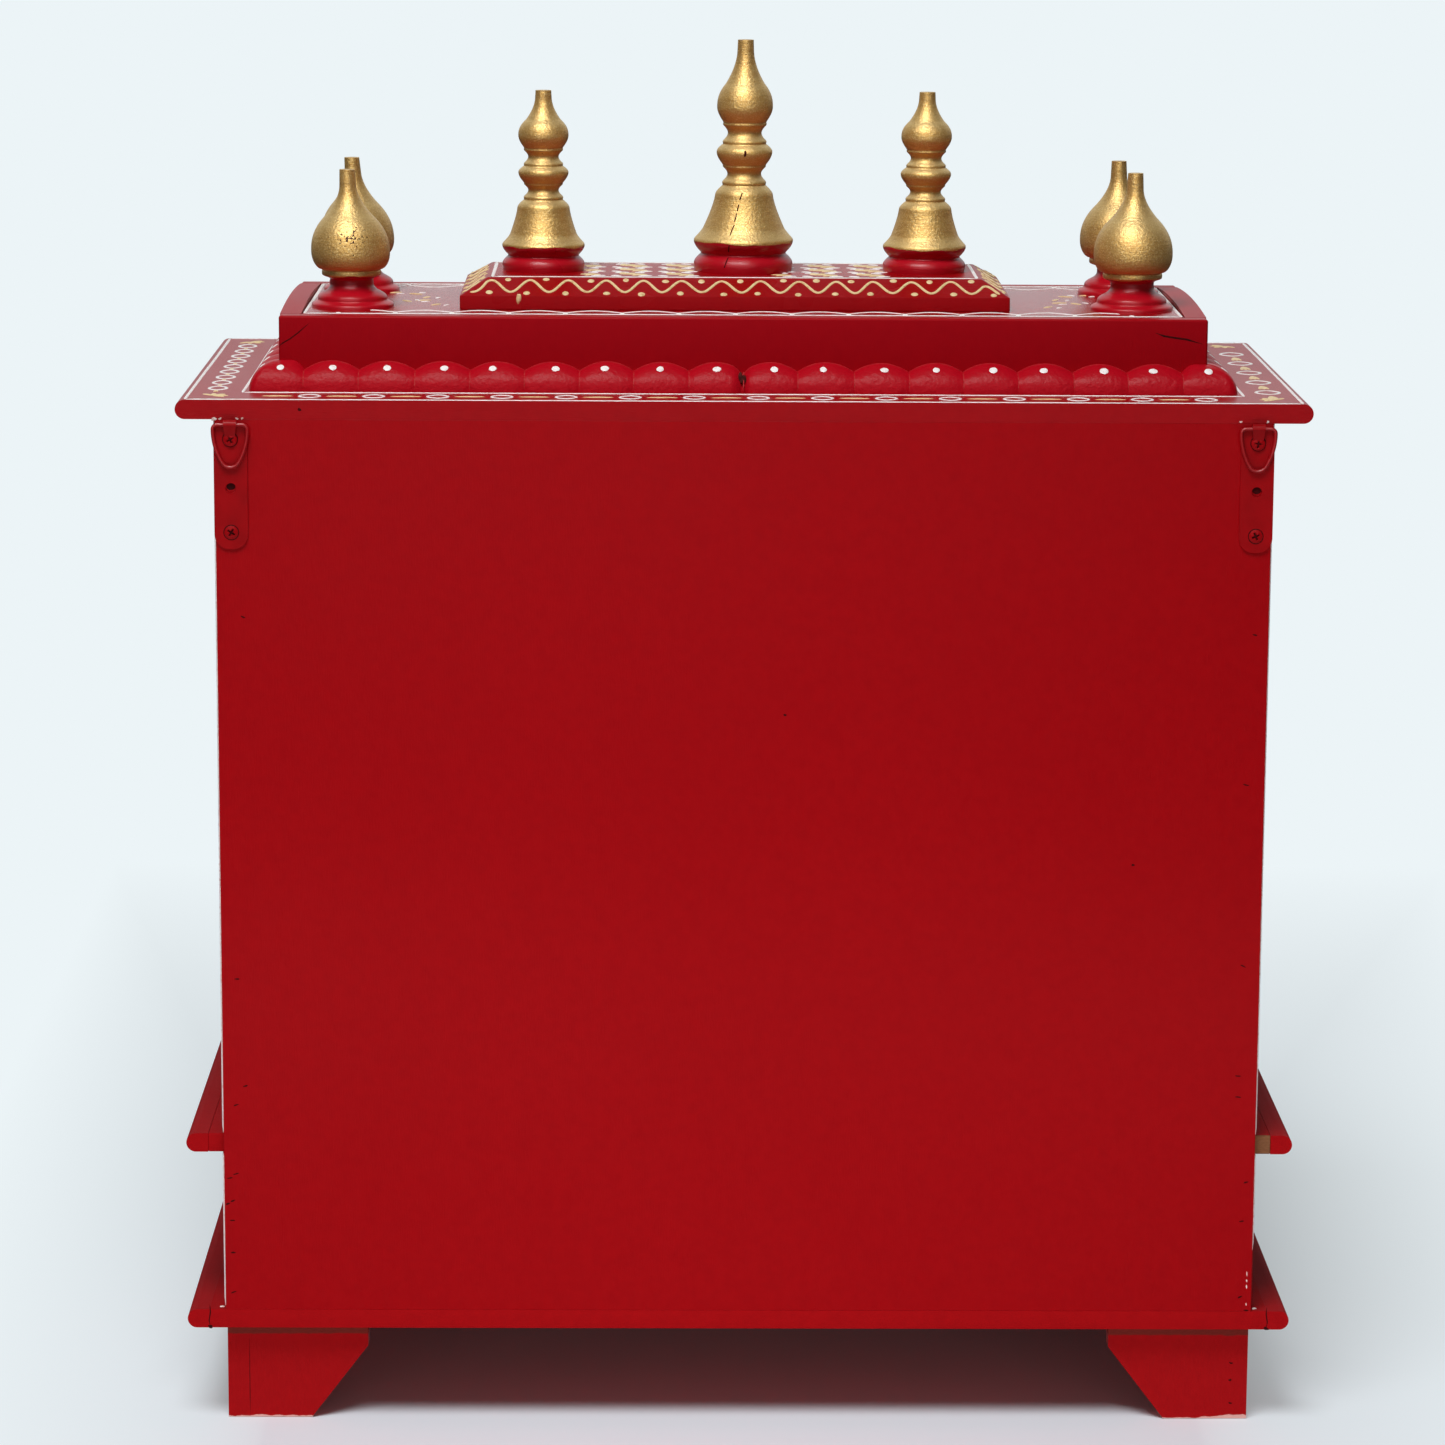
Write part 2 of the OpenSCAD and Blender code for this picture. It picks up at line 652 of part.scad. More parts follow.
// Side view of the fold and the tongue, as [out of the panel, up]
module fold_outline() {
    outer_r = fold_r + hanger_t;
    flat_out = hanger_t - pivot_out;
    intersection() {
        difference() {
            circle(outer_r);
            circle(fold_r);
        }
        translate([-outer_r, 0]) square([2 * outer_r, outer_r]);
    }
    polygon([[fold_r, 0], [outer_r, 0], [flat_out + hanger_t, -TONGUE_SLOPE * tongue_h],
        [flat_out + hanger_t, -tongue_h], [flat_out, -tongue_h],
        [flat_out, -TONGUE_SLOPE * tongue_h]]);
}
module hanger(side) {
    at_hanger(side) {
        difference() {
            translate([0, hanger_t - pivot_out, 0])
                rotate([90, 0, 0]) linear_extrude(hanger_t) strap_outline();
            translate([0, 0, fold_r + hanger_t - spare_hole_drop])
                rotate([90, 0, 0]) cylinder(d = spare_hole_d, h = 4 * pivot_out, center = true);
        }
        intersection() {
            translate([-tongue_w / 2, 0, 0])
                rotate([90, 0, 90]) linear_extrude(tongue_w) fold_outline();
            translate([0, pivot_out + hanger_t, 0])
                rotate([90, 0, 0])
                    linear_extrude(4 * pivot_out)
                        polygon([[-tongue_end_w / 2, -tongue_h], [tongue_end_w / 2, -tongue_h],
                            [tongue_w / 2, 0], [tongue_w / 2, hanger_w], [-tongue_w / 2, hanger_w],
                            [-tongue_w / 2, 0]]);
        }
    }
}
module hanger_left() { color(STEEL) hanger(LEFT); }
module hanger_right() { color(STEEL) hanger(RIGHT); }

// Ring: bar, rounded corners, bowed legs and a rounded tip, each tangent to the next
leg_x = (ring_w - wire_d) / 2;
tip_z = ring_tip_r - (ring_h - wire_d);
leg_drop = -tip_z - ring_corner_r;
leg_slack = leg_x - ring_tip_r;
leg_mid = (leg_drop * leg_drop - leg_slack * leg_slack) / (2 * leg_slack);
leg_r = leg_x + leg_mid;
leg_turn = atan2(leg_drop, leg_mid);
// The wire swells a little where the tip is bent out of the legs
WIRE_SWELL = 1.06;
// A bent length of wire in the ring's plane, from one angle on by a turn towards -Z
module bend(mid_x, mid_z, radius, from, turn) {
    translate([mid_x, 0, mid_z])
        rotate([-90, 0, 0])
            rotate(from) rotate_extrude(angle = turn) translate([radius, 0]) circle(d = wire_d);
}
module ring(side) {
    at_hanger(side) {
        rotate([0, 90, 0])
            cylinder(d = wire_d, h = 2 * (leg_x - ring_corner_r), center = true);
        for (half = [LEFT, RIGHT])
            on_side(half) {
                bend(leg_x - ring_corner_r, -ring_corner_r, ring_corner_r, -90, 90);
                bend(-leg_mid, -ring_corner_r, leg_r, 0, leg_turn);
            }
        bend(0, tip_z, ring_tip_r, leg_turn, 180 - 2 * leg_turn);
        for (half = [LEFT, RIGHT])
            translate([half * ring_tip_r * cos(leg_turn), 0, tip_z - ring_tip_r * sin(leg_turn)])
                sphere(d = WIRE_SWELL * wire_d);
    }
}
module ring_left() { color(STEEL) ring(LEFT); }
module ring_right() { color(STEEL) ring(RIGHT); }

foot_boards_back();
foot_boards_front();
foot_boards_side();
base_board();
base_edging_left();
base_edging_right();
base_edging_front();
shelf_board();
shelf_edging_left();
shelf_edging_right();
shelf_edging_front();
back_panel();
lower_wall_left();
lower_wall_right();
upper_wall_left();
upper_wall_right();
drawer_divider();
drawer_front_left();
drawer_front_right();
drawer_box_left();
drawer_box_right();
drawer_knobs();
front_post_left();
front_post_right();
front_arch();
cornice_board();
petals_back();
petals_front();
petals_left();
petals_right();
canopy_board_back();
canopy_board_front();
canopy_board_left();
canopy_board_right();
canopy_deck();
crown_block();
onion_back_left();
onion_back_right();
onion_front_left();
onion_front_right();
kalash_left();
kalash_middle();
kalash_right();
hanger_left();
hanger_right();
ring_left();
ring_right();
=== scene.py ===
"""Looks of a hand-painted home temple: red boards with soft arrises, turned gold finials, carved
petals, and white and gold brush lines. Shapes are worked out in millimetres, in the row frame."""

import math

import bpy
import numpy as np
from mathutils import Matrix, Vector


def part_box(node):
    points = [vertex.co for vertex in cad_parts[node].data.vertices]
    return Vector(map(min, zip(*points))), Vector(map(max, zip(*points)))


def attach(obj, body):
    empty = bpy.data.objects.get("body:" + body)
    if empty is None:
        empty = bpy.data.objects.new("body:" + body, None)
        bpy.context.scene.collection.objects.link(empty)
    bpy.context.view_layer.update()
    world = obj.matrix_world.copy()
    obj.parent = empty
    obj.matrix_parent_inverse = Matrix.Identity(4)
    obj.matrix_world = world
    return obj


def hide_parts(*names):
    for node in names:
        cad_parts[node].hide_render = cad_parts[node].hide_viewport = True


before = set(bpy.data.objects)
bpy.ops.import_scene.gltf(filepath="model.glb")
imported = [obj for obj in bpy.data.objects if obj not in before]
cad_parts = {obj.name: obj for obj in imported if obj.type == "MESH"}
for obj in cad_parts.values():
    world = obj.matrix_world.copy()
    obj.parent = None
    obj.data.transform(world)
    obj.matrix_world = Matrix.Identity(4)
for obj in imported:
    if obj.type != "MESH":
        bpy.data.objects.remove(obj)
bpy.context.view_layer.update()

MM = 0.001
TAU = 2 * math.pi
X, Y, Z = np.eye(3)


# Places taken from the frame

def span(node):
    """Lowest and highest corner of a node, in millimetres."""
    low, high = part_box(node)
    return np.array(low) / MM, np.array(high) / MM


PANEL_HIGH = span("back_panel")[1]
BASE_LOW, BASE_HIGH = span("base_board")
SHELF_HIGH = span("shelf_board")[1]
CORNICE_LOW, CORNICE_HIGH = span("cornice_board")
DECK_LOW, DECK_HIGH = span("canopy_deck")
RIM_HIGH = span("canopy_board_back")[1]
RIM_FRONT_LOW = span("canopy_board_front")[0]
PETALS_LOW, PETALS_HIGH = span("petals_back")
PETALS_FRONT_LOW = span("petals_front")[0]
CROWN_LOW, CROWN_HIGH = span("crown_block")
CROWN_MID = (CROWN_LOW + CROWN_HIGH) / 2
FOOT_HIGH = span("foot_boards_back")[1]
STRAP_LOW, STRAP_HIGH = span("hanger_right")

# Sizes that the frame doesn't give
BOARD_ARRIS = 0.8
# Boards whose arrises are rounder or sharper than that
ARRISES = {"canopy_board_back": 1.3, "canopy_board_front": 1.3, "base_board": 0.2, "back_panel": 0.3}
# How far the crown block's bevel runs in, and the height of its upright face
CROWN_BEVEL = 15.0
CROWN_FACE = 7.8
# A petal's radius, its top at the creases, and the share of its depth that it sinks there
PETAL_R = PETALS_HIGH[1] - PETALS_LOW[1]
PETAL_CREASE = 10.4
PETAL_SINK = 0.09
# Petals in a long row and in a side row
PETALS_LONG = 18
PETALS_SIDE = 7
# Radius of the hips where two rows meet, and the share of it that the round takes off
HIP_R = 5.0
HIP_SHARE = 1 - math.sqrt(0.5)
# Share of its depth that the dented petal has lost, and the half width of the dent
DENT_DEPTH = 0.16
DENT_WIDTH = 2.4
# How far down from a petal's top its dot lies, in degrees
DOT_ANGLE = 36
# How high a brush line stands, how deep it is let in, its usual width, and its points' spacing
LINE_HEIGHT = 0.35
LINE_SINK = 0.15
LINE_WIDTH = 1.9
LINE_STEP = 4.0


# Surfaces

def unit(v):
    """Vectors of length one along v."""
    return v / np.linalg.norm(v, axis=-1, keepdims=True)


def run_along(path):
    """The distance along a path to each of its points."""
    return np.concatenate([[0], np.cumsum(np.linalg.norm(np.diff(path, axis=0), axis=1))])


def waves(at, rates, seed, weights=(0.5, 0.3, 0.2)):
    """Three sine waves with seeded phases, added by their weights."""
    phase = np.random.default_rng(seed).uniform(0, TAU, 3)
    return np.sin(at[:, None] * np.array(rates) + phase) @ np.array(weights)


def skin(rings, closed=False):
    """Faces over rings[ring, point]: a quad joins each two neighbours on two rings. Every ring is a
    loop. The first and last rings are capped flat, or joined to each other where closed."""
    count, around = rings.shape[:2]
    at = np.arange(count * around).reshape(count, around)
    here = at if closed else at[:-1]
    ahead = np.roll(at, -1, axis=0) if closed else at[1:]
    quads = np.stack([here, np.roll(here, -1, 1), np.roll(ahead, -1, 1), ahead], -1)
    caps = [] if closed else [at[:1, ::-1], at[-1:]]
    return rings.reshape(-1, 3), [quads.reshape(-1, 4), *caps]


def joined(skins):
    """Several skins as one, with their point numbers shifted."""
    points, faces, start = [], [], 0
    for some_points, parts in skins:
        points.append(some_points)
        faces.extend(part + start for part in parts)
        start += len(some_points)
    return np.concatenate(points), faces


CORNER_STEPS = 5


def block(centre, half, stations, axis):
    """A solid of rounded rectangles: each station (along, inset, corner) is a ring that far along
    the axis, smaller by the inset all round, with corners of that radius."""
    along, inset, corner = np.array(stations, float).T[..., None]
    step = np.arange(4 * CORNER_STEPS)
    turn = step // CORNER_STEPS
    angle = TAU / 4 * (turn + step % CORNER_STEPS / (CORNER_STEPS - 1))
    sides = (((axis + 1) % 3, np.array([1, -1, -1, 1])[turn], np.cos(angle)),
             ((axis + 2) % 3, np.array([1, 1, -1, -1])[turn], np.sin(angle)))
    rings = np.empty((len(stations), len(step), 3))
    for side, sign, wave in sides:
        rings[..., side] = centre[side] + sign * (half[side] - inset - corner) + corner * wave
    rings[..., axis] = centre[axis] + along
    return skin(rings)


def soft_board(low, high, arris):
    """A board with rounded arrises: rounded rectangles along its longest side, which shrink over
    the last arris at each end as a quarter circle does."""
    centre, half = (low + high) / 2, (high - low) / 2
    axis = int(np.argmax(half))
    q = np.radians(np.linspace(8, 90, 5))
    inset = arris * (1 - np.sin(q))
    reach = half[axis] - arris * (1 - np.cos(q))
    first = np.stack([-reach, inset, arris - inset], 1)
    last = np.stack([reach, inset, arris - inset], 1)[::-1]
    return block(centre, half, np.concatenate([first, last]), axis)


# How a radius runs from one station of a turned piece to the next, each as a share from 0 to 1
CURVES = {
    "line": lambda t: t,
    "wave": lambda t: (1 - np.cos(np.pi * t)) / 2,
    "swell": lambda t: np.sin(np.pi / 2 * t),
    "round": lambda t: 1 - np.cos(np.pi / 2 * t),
    "flare": lambda t: 1 - (1 - t) ** 1.3,
    "ball": lambda t: np.sqrt(1 - (1 - t) ** 2),
    "dome": lambda t: t ** 2.3,
    "hollow": lambda t: 1 - (1 - t) ** 1.8,
}


def outline(stations, steps=16):
    """[radius, height] points up a turned piece. A station is (height, radius, curve), and its
    curve says how the radius comes up to it from the station below."""
    t = np.linspace(0, 1, steps + 1)[1:]
    rows = [np.array([[stations[0][1], stations[0][0]]])]
    for (low, r_low, _), (high, r_high, curve) in zip(stations, stations[1:]):
        radius = r_low + (r_high - r_low) * CURVES[curve](t)
        rows.append(np.stack([radius, low + (high - low) * t], 1))
    return np.concatenate(rows)


def softened(profile, step=0.5):
    """The outline at even steps, each point the mean of itself and its two neighbours, so that
    every turned edge is a little worn. The two ends stay."""
    run = run_along(profile)
    even = np.linspace(0, run[-1], int(run[-1] / step) + 1)
    points = np.stack([np.interp(even, run, column) for column in profile.T], 1)
    points[1:-1] = (points[:-2] + points[1:-1] + points[2:]) / 3
    return points


def turned(profile, foot, lean=0.0, oval=0.004, twist=0.0, sides=72):
    """Surface of revolution: the profile's radius goes round the upright axis, a touch oval,
    radius (1 + oval cos 2(angle - twist)), and the axis leans towards +X with height."""
    angle = np.arange(sides) * TAU / sides
    radius, height = profile[:, :1], profile[:, 1:]
    r = radius * (1 + oval * np.cos(2 * (angle - twist)))
    rings = np.stack([r * np.cos(angle) + lean * height, r * np.sin(angle),
                      np.broadcast_to(height, r.shape)], -1)
    return skin(rings + foot)


LENS_SIDES = 8


def stroke(path, normal, width=LINE_WIDTH, height=LINE_HEIGHT, closed=False):
    """A brush line: a low lens of paint carried along a path on a surface. The lens is as wide as
    the line and flat underneath, and shrinks to a round end as the square root of the distance."""
    path = np.asarray(path, float)
    step = np.roll(path, -1, 0) - np.roll(path, 1, 0) if closed else np.gradient(path, axis=0)
    normal = np.broadcast_to(normal, path.shape)
    across = unit(np.cross(normal, unit(step)))
    size = np.ones(len(path))
    if not closed:
        run = run_along(path)
        size = np.sqrt(np.clip(np.minimum(run, run[-1] - run) / (0.6 * width), 0.02, 1))
    angle = np.arange(LENS_SIDES) * TAU / LENS_SIDES
    wide = (np.cos(angle) * width / 2)[:, None]
    up = (np.sin(angle) * np.where(np.sin(angle) > 0, height, LINE_SINK))[:, None]
    rings = across[:, None] * wide + normal[:, None] * up
    return skin(path[:, None] + size[:, None, None] * rings, closed)


def dab(centre, normal, along, half_long, half_wide, height=0.4, sink=0.25, ragged=0.0, seed=0):
    """A dab of paint, or a flake: ellipses that shrink as they rise, cos v by height sin v. A
    ragged rim swings in and out by three waves round it with seeded phases."""
    angle = np.arange(16) * TAU / 16
    rim = 1 + ragged * waves(angle, (2, 3, 5), seed)
    v = np.radians([0, 0, 30, 58, 80])[:, None]
    up = height * np.sin(v) - sink * np.array([1, 0, 0, 0, 0])[:, None]
    across = np.cross(normal, along)
    rings = (along * (half_long * rim * np.cos(angle) * np.cos(v))[..., None]
             + across * (half_wide * rim * np.sin(angle) * np.cos(v))[..., None]
             + normal * np.broadcast_to(up, (len(v), len(angle)))[..., None])
    return skin(rings + centre)


def ruled(start, end, normal, width=LINE_WIDTH, wander=0.25, seed=0):
    """One straight brush line on a flat surface. It is drawn by hand, so it wanders sideways by three
    slow waves with seeded phases."""
    length = np.linalg.norm(end - start)
    t = np.linspace(0, 1, max(int(length / LINE_STEP), 4))
    swing = wander * waves(t * length, 1 / np.array([90, 41, 23]), seed)
    across = np.cross(normal, unit(end - start))
    path = start + (end - start) * t[:, None]
    return stroke(path + across * swing[:, None], normal, width)


def border(corners, normal, width=LINE_WIDTH, seed=0):
    """Four brush lines round a rectangle, which cross a little at its corners."""
    ends = np.roll(corners, -1, axis=0)
    return [ruled(a, b, normal, width, seed=seed + k) for k, (a, b) in enumerate(zip(corners, ends))]


def oval(centre, normal, along, half_long, half_wide, width=1.5):
    """A closed brush line round an ellipse whose sides come to blunt points, cos |cos|^0.5 by sin."""
    angle = np.arange(28)[:, None] * TAU / 28
    across = np.cross(normal, along)
    eye = np.cos(angle) * np.abs(np.cos(angle)) ** 0.5
    path = centre + along * half_long * eye + across * half_wide * np.sin(angle)
    return stroke(path, normal, width, closed=True)


def petal_rise(top, q):
    """Height on a petal at angle q from its top: r cos q, less (r - top) cos^2.5 q."""
    return PETAL_R * np.cos(q) - (PETAL_R - top) * np.abs(np.cos(q)) ** 2.5


def petal_row(corner, along, out, length, count, seed, dent_at=None):
    """A row of carved petals. Across a petal, s runs 0 to 1 from crease to crease, and its top is
    the arc crease + drop (1 - (2s - 1)^2). Down the petal the face is a quarter round, r sin q by
    r cos q, whose rise is cut to the top by the share cos^1.5 q, and which sinks a little towards
    the creases. The row is mitred, so depth sets where the end petals start, and each hip
    is rounded: depth - (r - sqrt(r^2 - (r - away)^2)) within r of the mitre. Gives the skin,
    for a dot of paint on each petal its place and normal, and thin pale strokes down the creases and
    along the tops, which are painted highlights."""
    rng = np.random.default_rng(seed)
    s = CURVES["wave"](np.linspace(0, 1, 19))
    q = np.radians(np.linspace(90, 0, 17))
    crease = np.arange(count + 1) * length / count
    crease[1:-1] += rng.uniform(-0.5, 0.5, count - 1)
    bow = np.tile(1 - (2 * s - 1) ** 2, (count, 1))
    bow[0, s < 0.5] = 1
    bow[-1, s > 0.5] = 1
    top = PETAL_CREASE + (PETAL_R - PETAL_CREASE) * bow * rng.uniform(0.9, 1.0, (count, 1))
    belly = 1 - PETAL_SINK * (1 - bow) ** 1.5
    depth = PETAL_R * belly[..., None] * np.sin(q)
    rise = petal_rise(top[..., None], q)
    nothing = np.zeros((count, len(s), 1))
    depth = np.concatenate([depth, nothing], 2)
    rise = np.concatenate([rise, nothing], 2)
    start = np.broadcast_to(crease[:-1, None, None], depth.shape).copy()
    end = np.broadcast_to(crease[1:, None, None], depth.shape).copy()
    hip = HIP_R * depth / PETAL_R
    start[0] = PETAL_R - depth[0] + HIP_SHARE * hip[0]
    end[-1] = length - PETAL_R + depth[-1] - HIP_SHARE * hip[-1]
    x = start + (end - start) * s[:, None]
    for end_petal, away in ((0, x[0] - PETAL_R + depth[0]), (-1, length - PETAL_R + depth[-1] - x[-1])):
        r = hip[end_petal]
        depth[end_petal] -= r - np.sqrt(np.maximum(r ** 2 - np.clip(r - away, 0, None) ** 2, 0))
    if dent_at is not None:
        worn = 1 - DENT_DEPTH * np.exp(-((x - dent_at) / DENT_WIDTH) ** 2)
        depth, rise = depth * worn, rise * worn
    rings = corner + along * x[..., None] + out * depth[..., None] + Z * rise[..., None]
    dot_q = np.radians(DOT_ANGLE)
    dot_x = (crease[:-1] + crease[1:]) / 2 + rng.uniform(-2.5, 2.5, count)
    dot_top = top[:, len(s) // 2]
    dots = (corner + along * dot_x[:, None] + out * PETAL_R * math.sin(dot_q)
            + Z * petal_rise(dot_top, dot_q)[:, None])
    normals = unit(out * math.sin(dot_q) / PETAL_R + Z * (math.cos(dot_q) / dot_top)[:, None])
    # Pale strokes down the creases and along the petals' tops: painted highlights on the crease edges
    # and top rims
    down = np.radians(np.linspace(14, 84, 9))[:, None]
    highlight_lines = [corner + along * at + out * (1 - PETAL_SINK) * PETAL_R * np.sin(down)
             + Z * petal_rise(PETAL_CREASE, down) for at in crease[1:-1]]
    strokes = [stroke(fold, out * np.sin(down) + Z * np.cos(down), 0.7, 0.12) for fold in highlight_lines]
    strokes += [stroke(rim, unit(Z + 0.1 * out), 0.5, 0.1) for rim in rings[1:-1, :, -3]]
    return skin(rings.reshape(-1, len(q) + 1, 3)), dots, normals, strokes


def screw_head(centre, normal, radius, turn):
    """A cross-slot screw head: a dome, 1 - (r / R)^2, less a cross of two slots whose walls and
    ends fall away smoothly."""
    r = radius * np.linspace(1, 0.03, 26)[:, None]
    angle = np.arange(80) * TAU / 80
    u, v = np.abs(r * np.cos(angle - turn)), np.abs(r * np.sin(angle - turn))

    def arm(far, near):
        return np.clip((0.62 * radius - far) / 0.5, 0, 1) * np.clip((0.17 * radius - near) / 0.25, 0, 1)

    slots = np.maximum(arm(u, v), arm(v, u))
    height = 0.9 * (1 - (r / radius) ** 2) - 1.3 * slots
    height[0] = -0.4
    right = np.cross(normal, Z)
    up = np.cross(normal, right)
    rings = (right * (r * np.cos(angle))[..., None] + up * (r * np.sin(angle))[..., None]
             + normal * height[..., None])
    return skin(rings + centre)


# Finishes

class Finish:
    """A procedural finish in the making: nodes are added by kind and joined by socket name."""

    def __init__(self, name):
        self.material = bpy.data.materials.new(name)
        self.material.use_nodes = True
        self.tree = self.material.node_tree
        self.shader = self.tree.nodes["Principled BSDF"]
        self.place = self.node("TexCoord").outputs["Object"]

    def join(self, value, socket):
        if isinstance(value, bpy.types.NodeSocket):
            self.tree.links.new(value, socket)
        else:
            socket.default_value = value

    def node(self, kind, inputs=None, **settings):
        made = self.tree.nodes.new("ShaderNode" + kind)
        for key, value in settings.items():
            setattr(made, key, value)
        for key, value in (inputs or {}).items():
            self.join(value, made.inputs[key])
        return made

    def noise(self, scale, detail=3.0, stretch=(1, 1, 1)):
        """Cloudy noise from 0 to 1; scale is in clouds to the metre."""
        mapping = self.node("Mapping", {"Vector": self.place, "Scale": stretch})
        inputs = {"Vector": mapping.outputs["Vector"], "Scale": scale, "Detail": detail}
        return self.node("TexNoise", inputs).outputs["Fac"]

    def ramp(self, value, low, high, to_low=0.0, to_high=1.0):
        """A value between low and high, spread from to_low to to_high."""
        inputs = {"Value": value, "From Min": low, "From Max": high,
                  "To Min": to_low, "To Max": to_high}
        return self.node("MapRange", inputs).outputs["Result"]

    def calc(self, operation, first, second=0.0):
        made = self.node("Math", operation=operation)
        self.join(first, made.inputs[0])
        self.join(second, made.inputs[1])
        return made.outputs[0]

    def mix(self, share, first, second):
        """Two colours mixed, the second by its share."""
        made = self.node("Mix", data_type="RGBA")
        for index, value in ((0, share), (6, first), (7, second)):
            self.join(value, made.inputs[index])
        return made.outputs[2]

    def bump(self, height, distance, below=None):
        """Fine relief: the height from 0 to 1 stands for a distance in metres."""
        inputs = {"Height": height, "Distance": distance, "Strength": 1.0}
        if below is not None:
            inputs["Normal"] = below
        return self.node("Bump", inputs).outputs["Normal"]

    def coordinate(self, axis):
        return self.node("SeparateXYZ", {"Vector": self.place}).outputs[axis]

    def attribute(self, name):
        return self.node("Attribute", attribute_name=name).outputs["Fac"]

    def apply(self, **values):
        sockets = {"colour": "Base Color", "metal": "Metallic", "rough": "Roughness",
                   "normal": "Normal", "gloss": "Specular IOR Level"}
        for key, value in values.items():
            self.join(value, self.shader.inputs[sockets[key]])
        return self.material


def rgb(red, green, blue):
    """A screen colour, 0 to 255, as the linear light that a shader takes."""
    c = np.array([red, green, blue]) / 255
    linear = np.where(c <= 0.04045, c / 12.92, ((c + 0.055) / 1.055) ** 2.4)
    return (*linear.tolist(), 1.0)


RED = rgb(160, 8, 16)
RED_DEEP = rgb(154, 6, 14)
RED_DARK = rgb(148, 5, 14)
RED_THIN = rgb(168, 16, 22)
RED_TURNED = rgb(190, 12, 34)
UNDERCOAT = rgb(214, 176, 168)
GOLD = rgb(209, 168, 97)
GOLD_PALE = rgb(242, 220, 162)
GOLD_BROWN = rgb(166, 114, 50)
# Gold for faces turned down: painted shade and a painted reflection of the red
GOLD_PAINTED_SHADE = rgb(192, 124, 50)
SPECK = rgb(52, 26, 14)
WHITE = rgb(252, 250, 248)
WHITE_THIN = rgb(234, 208, 204)
LINE_GOLD = rgb(238, 212, 158)
LINE_OCHRE = rgb(208, 168, 108)
BARE = rgb(150, 112, 78)
BARE_DARK = rgb(96, 66, 44)
STRIP_THIN = rgb(126, 52, 44)
STRIP_DARK = rgb(88, 32, 28)


# Gloss of the feet and of dull paint on the low boards, and the share of undercoat that shows there
FOOT_GLOSS = 0.03
MATTE = 0.007
CHALK = 0.008


def enamel(f, brush):
    """Colour and relief of hand-brushed red enamel: broad clouds, a fine mottle, brush marks along
    one way, and grains of dust under the paint."""
    cloud = f.noise(7, 4)
    marks = f.noise(140, 3, brush)
    dust = f.ramp(f.noise(1300, 0), 0.8, 0.86, 0, 0.5)
    colour = f.mix(f.ramp(cloud, 0.1, 0.9), RED_DEEP, RED)
    colour = f.mix(f.ramp(f.noise(190, 4), 0.35, 0.75, 0, 0.7), colour, RED_DARK)
    colour = f.mix(f.ramp(marks, 0.5, 0.85, 0, 0.3), colour, RED_THIN)
    colour = f.mix(dust, colour, RED_DEEP)
    relief = f.bump(marks, 0.00012)
    relief = f.bump(f.noise(900, 2), 0.00004, relief)
    return colour, relief, cloud


def red_enamel(name, rough, gloss, brush=(14, 14, 1), crimson=0.0, chalk=0.0, lumps=0.0):
    """Red enamel on boards; its sheen varies with the clouds. Carved wood is more crimson and lumpy,
    and dull paint is chalky."""
    f = Finish(name)
    colour, relief, cloud = enamel(f, brush)
    colour = f.mix(chalk, f.mix(crimson, colour, RED_TURNED), UNDERCOAT)
    relief = f.bump(f.noise(320, 4), lumps, relief)
    return f.apply(colour=colour, rough=f.ramp(cloud, 0.1, 0.9, *rough), gloss=gloss, normal=relief)


def foot_enamel():
    """Red enamel on the feet, with a bare strip under the base and a chipped edge on the floor."""
    f = Finish("foot_enamel")
    colour, relief, cloud = enamel(f, (14, 14, 1))
    up = f.coordinate("Z")
    ragged = f.noise(160, 3)
    top = FOOT_HIGH[2] * MM
    strip = f.ramp(f.calc("ADD", up, f.calc("MULTIPLY", ragged, 0.002)), top - 0.0056, top - 0.0048)
    floor_edge = f.calc("SUBTRACT", up, f.calc("MULTIPLY", f.noise(70, 4), 0.0066))
    wear = f.ramp(floor_edge, -0.0022, -0.0026)
    colour = f.mix(CHALK, colour, UNDERCOAT)
    colour = f.mix(strip, colour, f.mix(f.noise(300, 3, (1, 1, 9)), STRIP_DARK, STRIP_THIN))
    colour = f.mix(wear, colour, UNDERCOAT)
    rough = f.calc("MAXIMUM", f.ramp(cloud, 0.3, 0.7, 0.26, 0.34), f.calc("MULTIPLY", strip, 0.8))
    return f.apply(colour=colour, rough=rough, gloss=FOOT_GLOSS, normal=relief)


def shelf_enamel():
    """Red enamel on the shelf, whose sawn end next to the panel stayed bare on one side."""
    f = Finish("shelf_enamel")
    colour, relief, cloud = enamel(f, (1, 14, 14))
    colour = f.mix(CHALK, colour, UNDERCOAT)
    back = f.ramp(f.coordinate("Y"), SHELF_HIGH[1] * MM - 0.0016, SHELF_HIGH[1] * MM - 0.0008)
    bare = f.calc("MULTIPLY", back, f.ramp(f.coordinate("X"), 0, -0.01))
    colour = f.mix(bare, colour, f.mix(f.noise(500, 3, (1, 1, 6)), BARE_DARK, BARE))
    rough = f.ramp(cloud, 0.1, 0.9, 0.42, 0.52)
    return f.apply(colour=colour, rough=rough, gloss=MATTE, normal=relief)


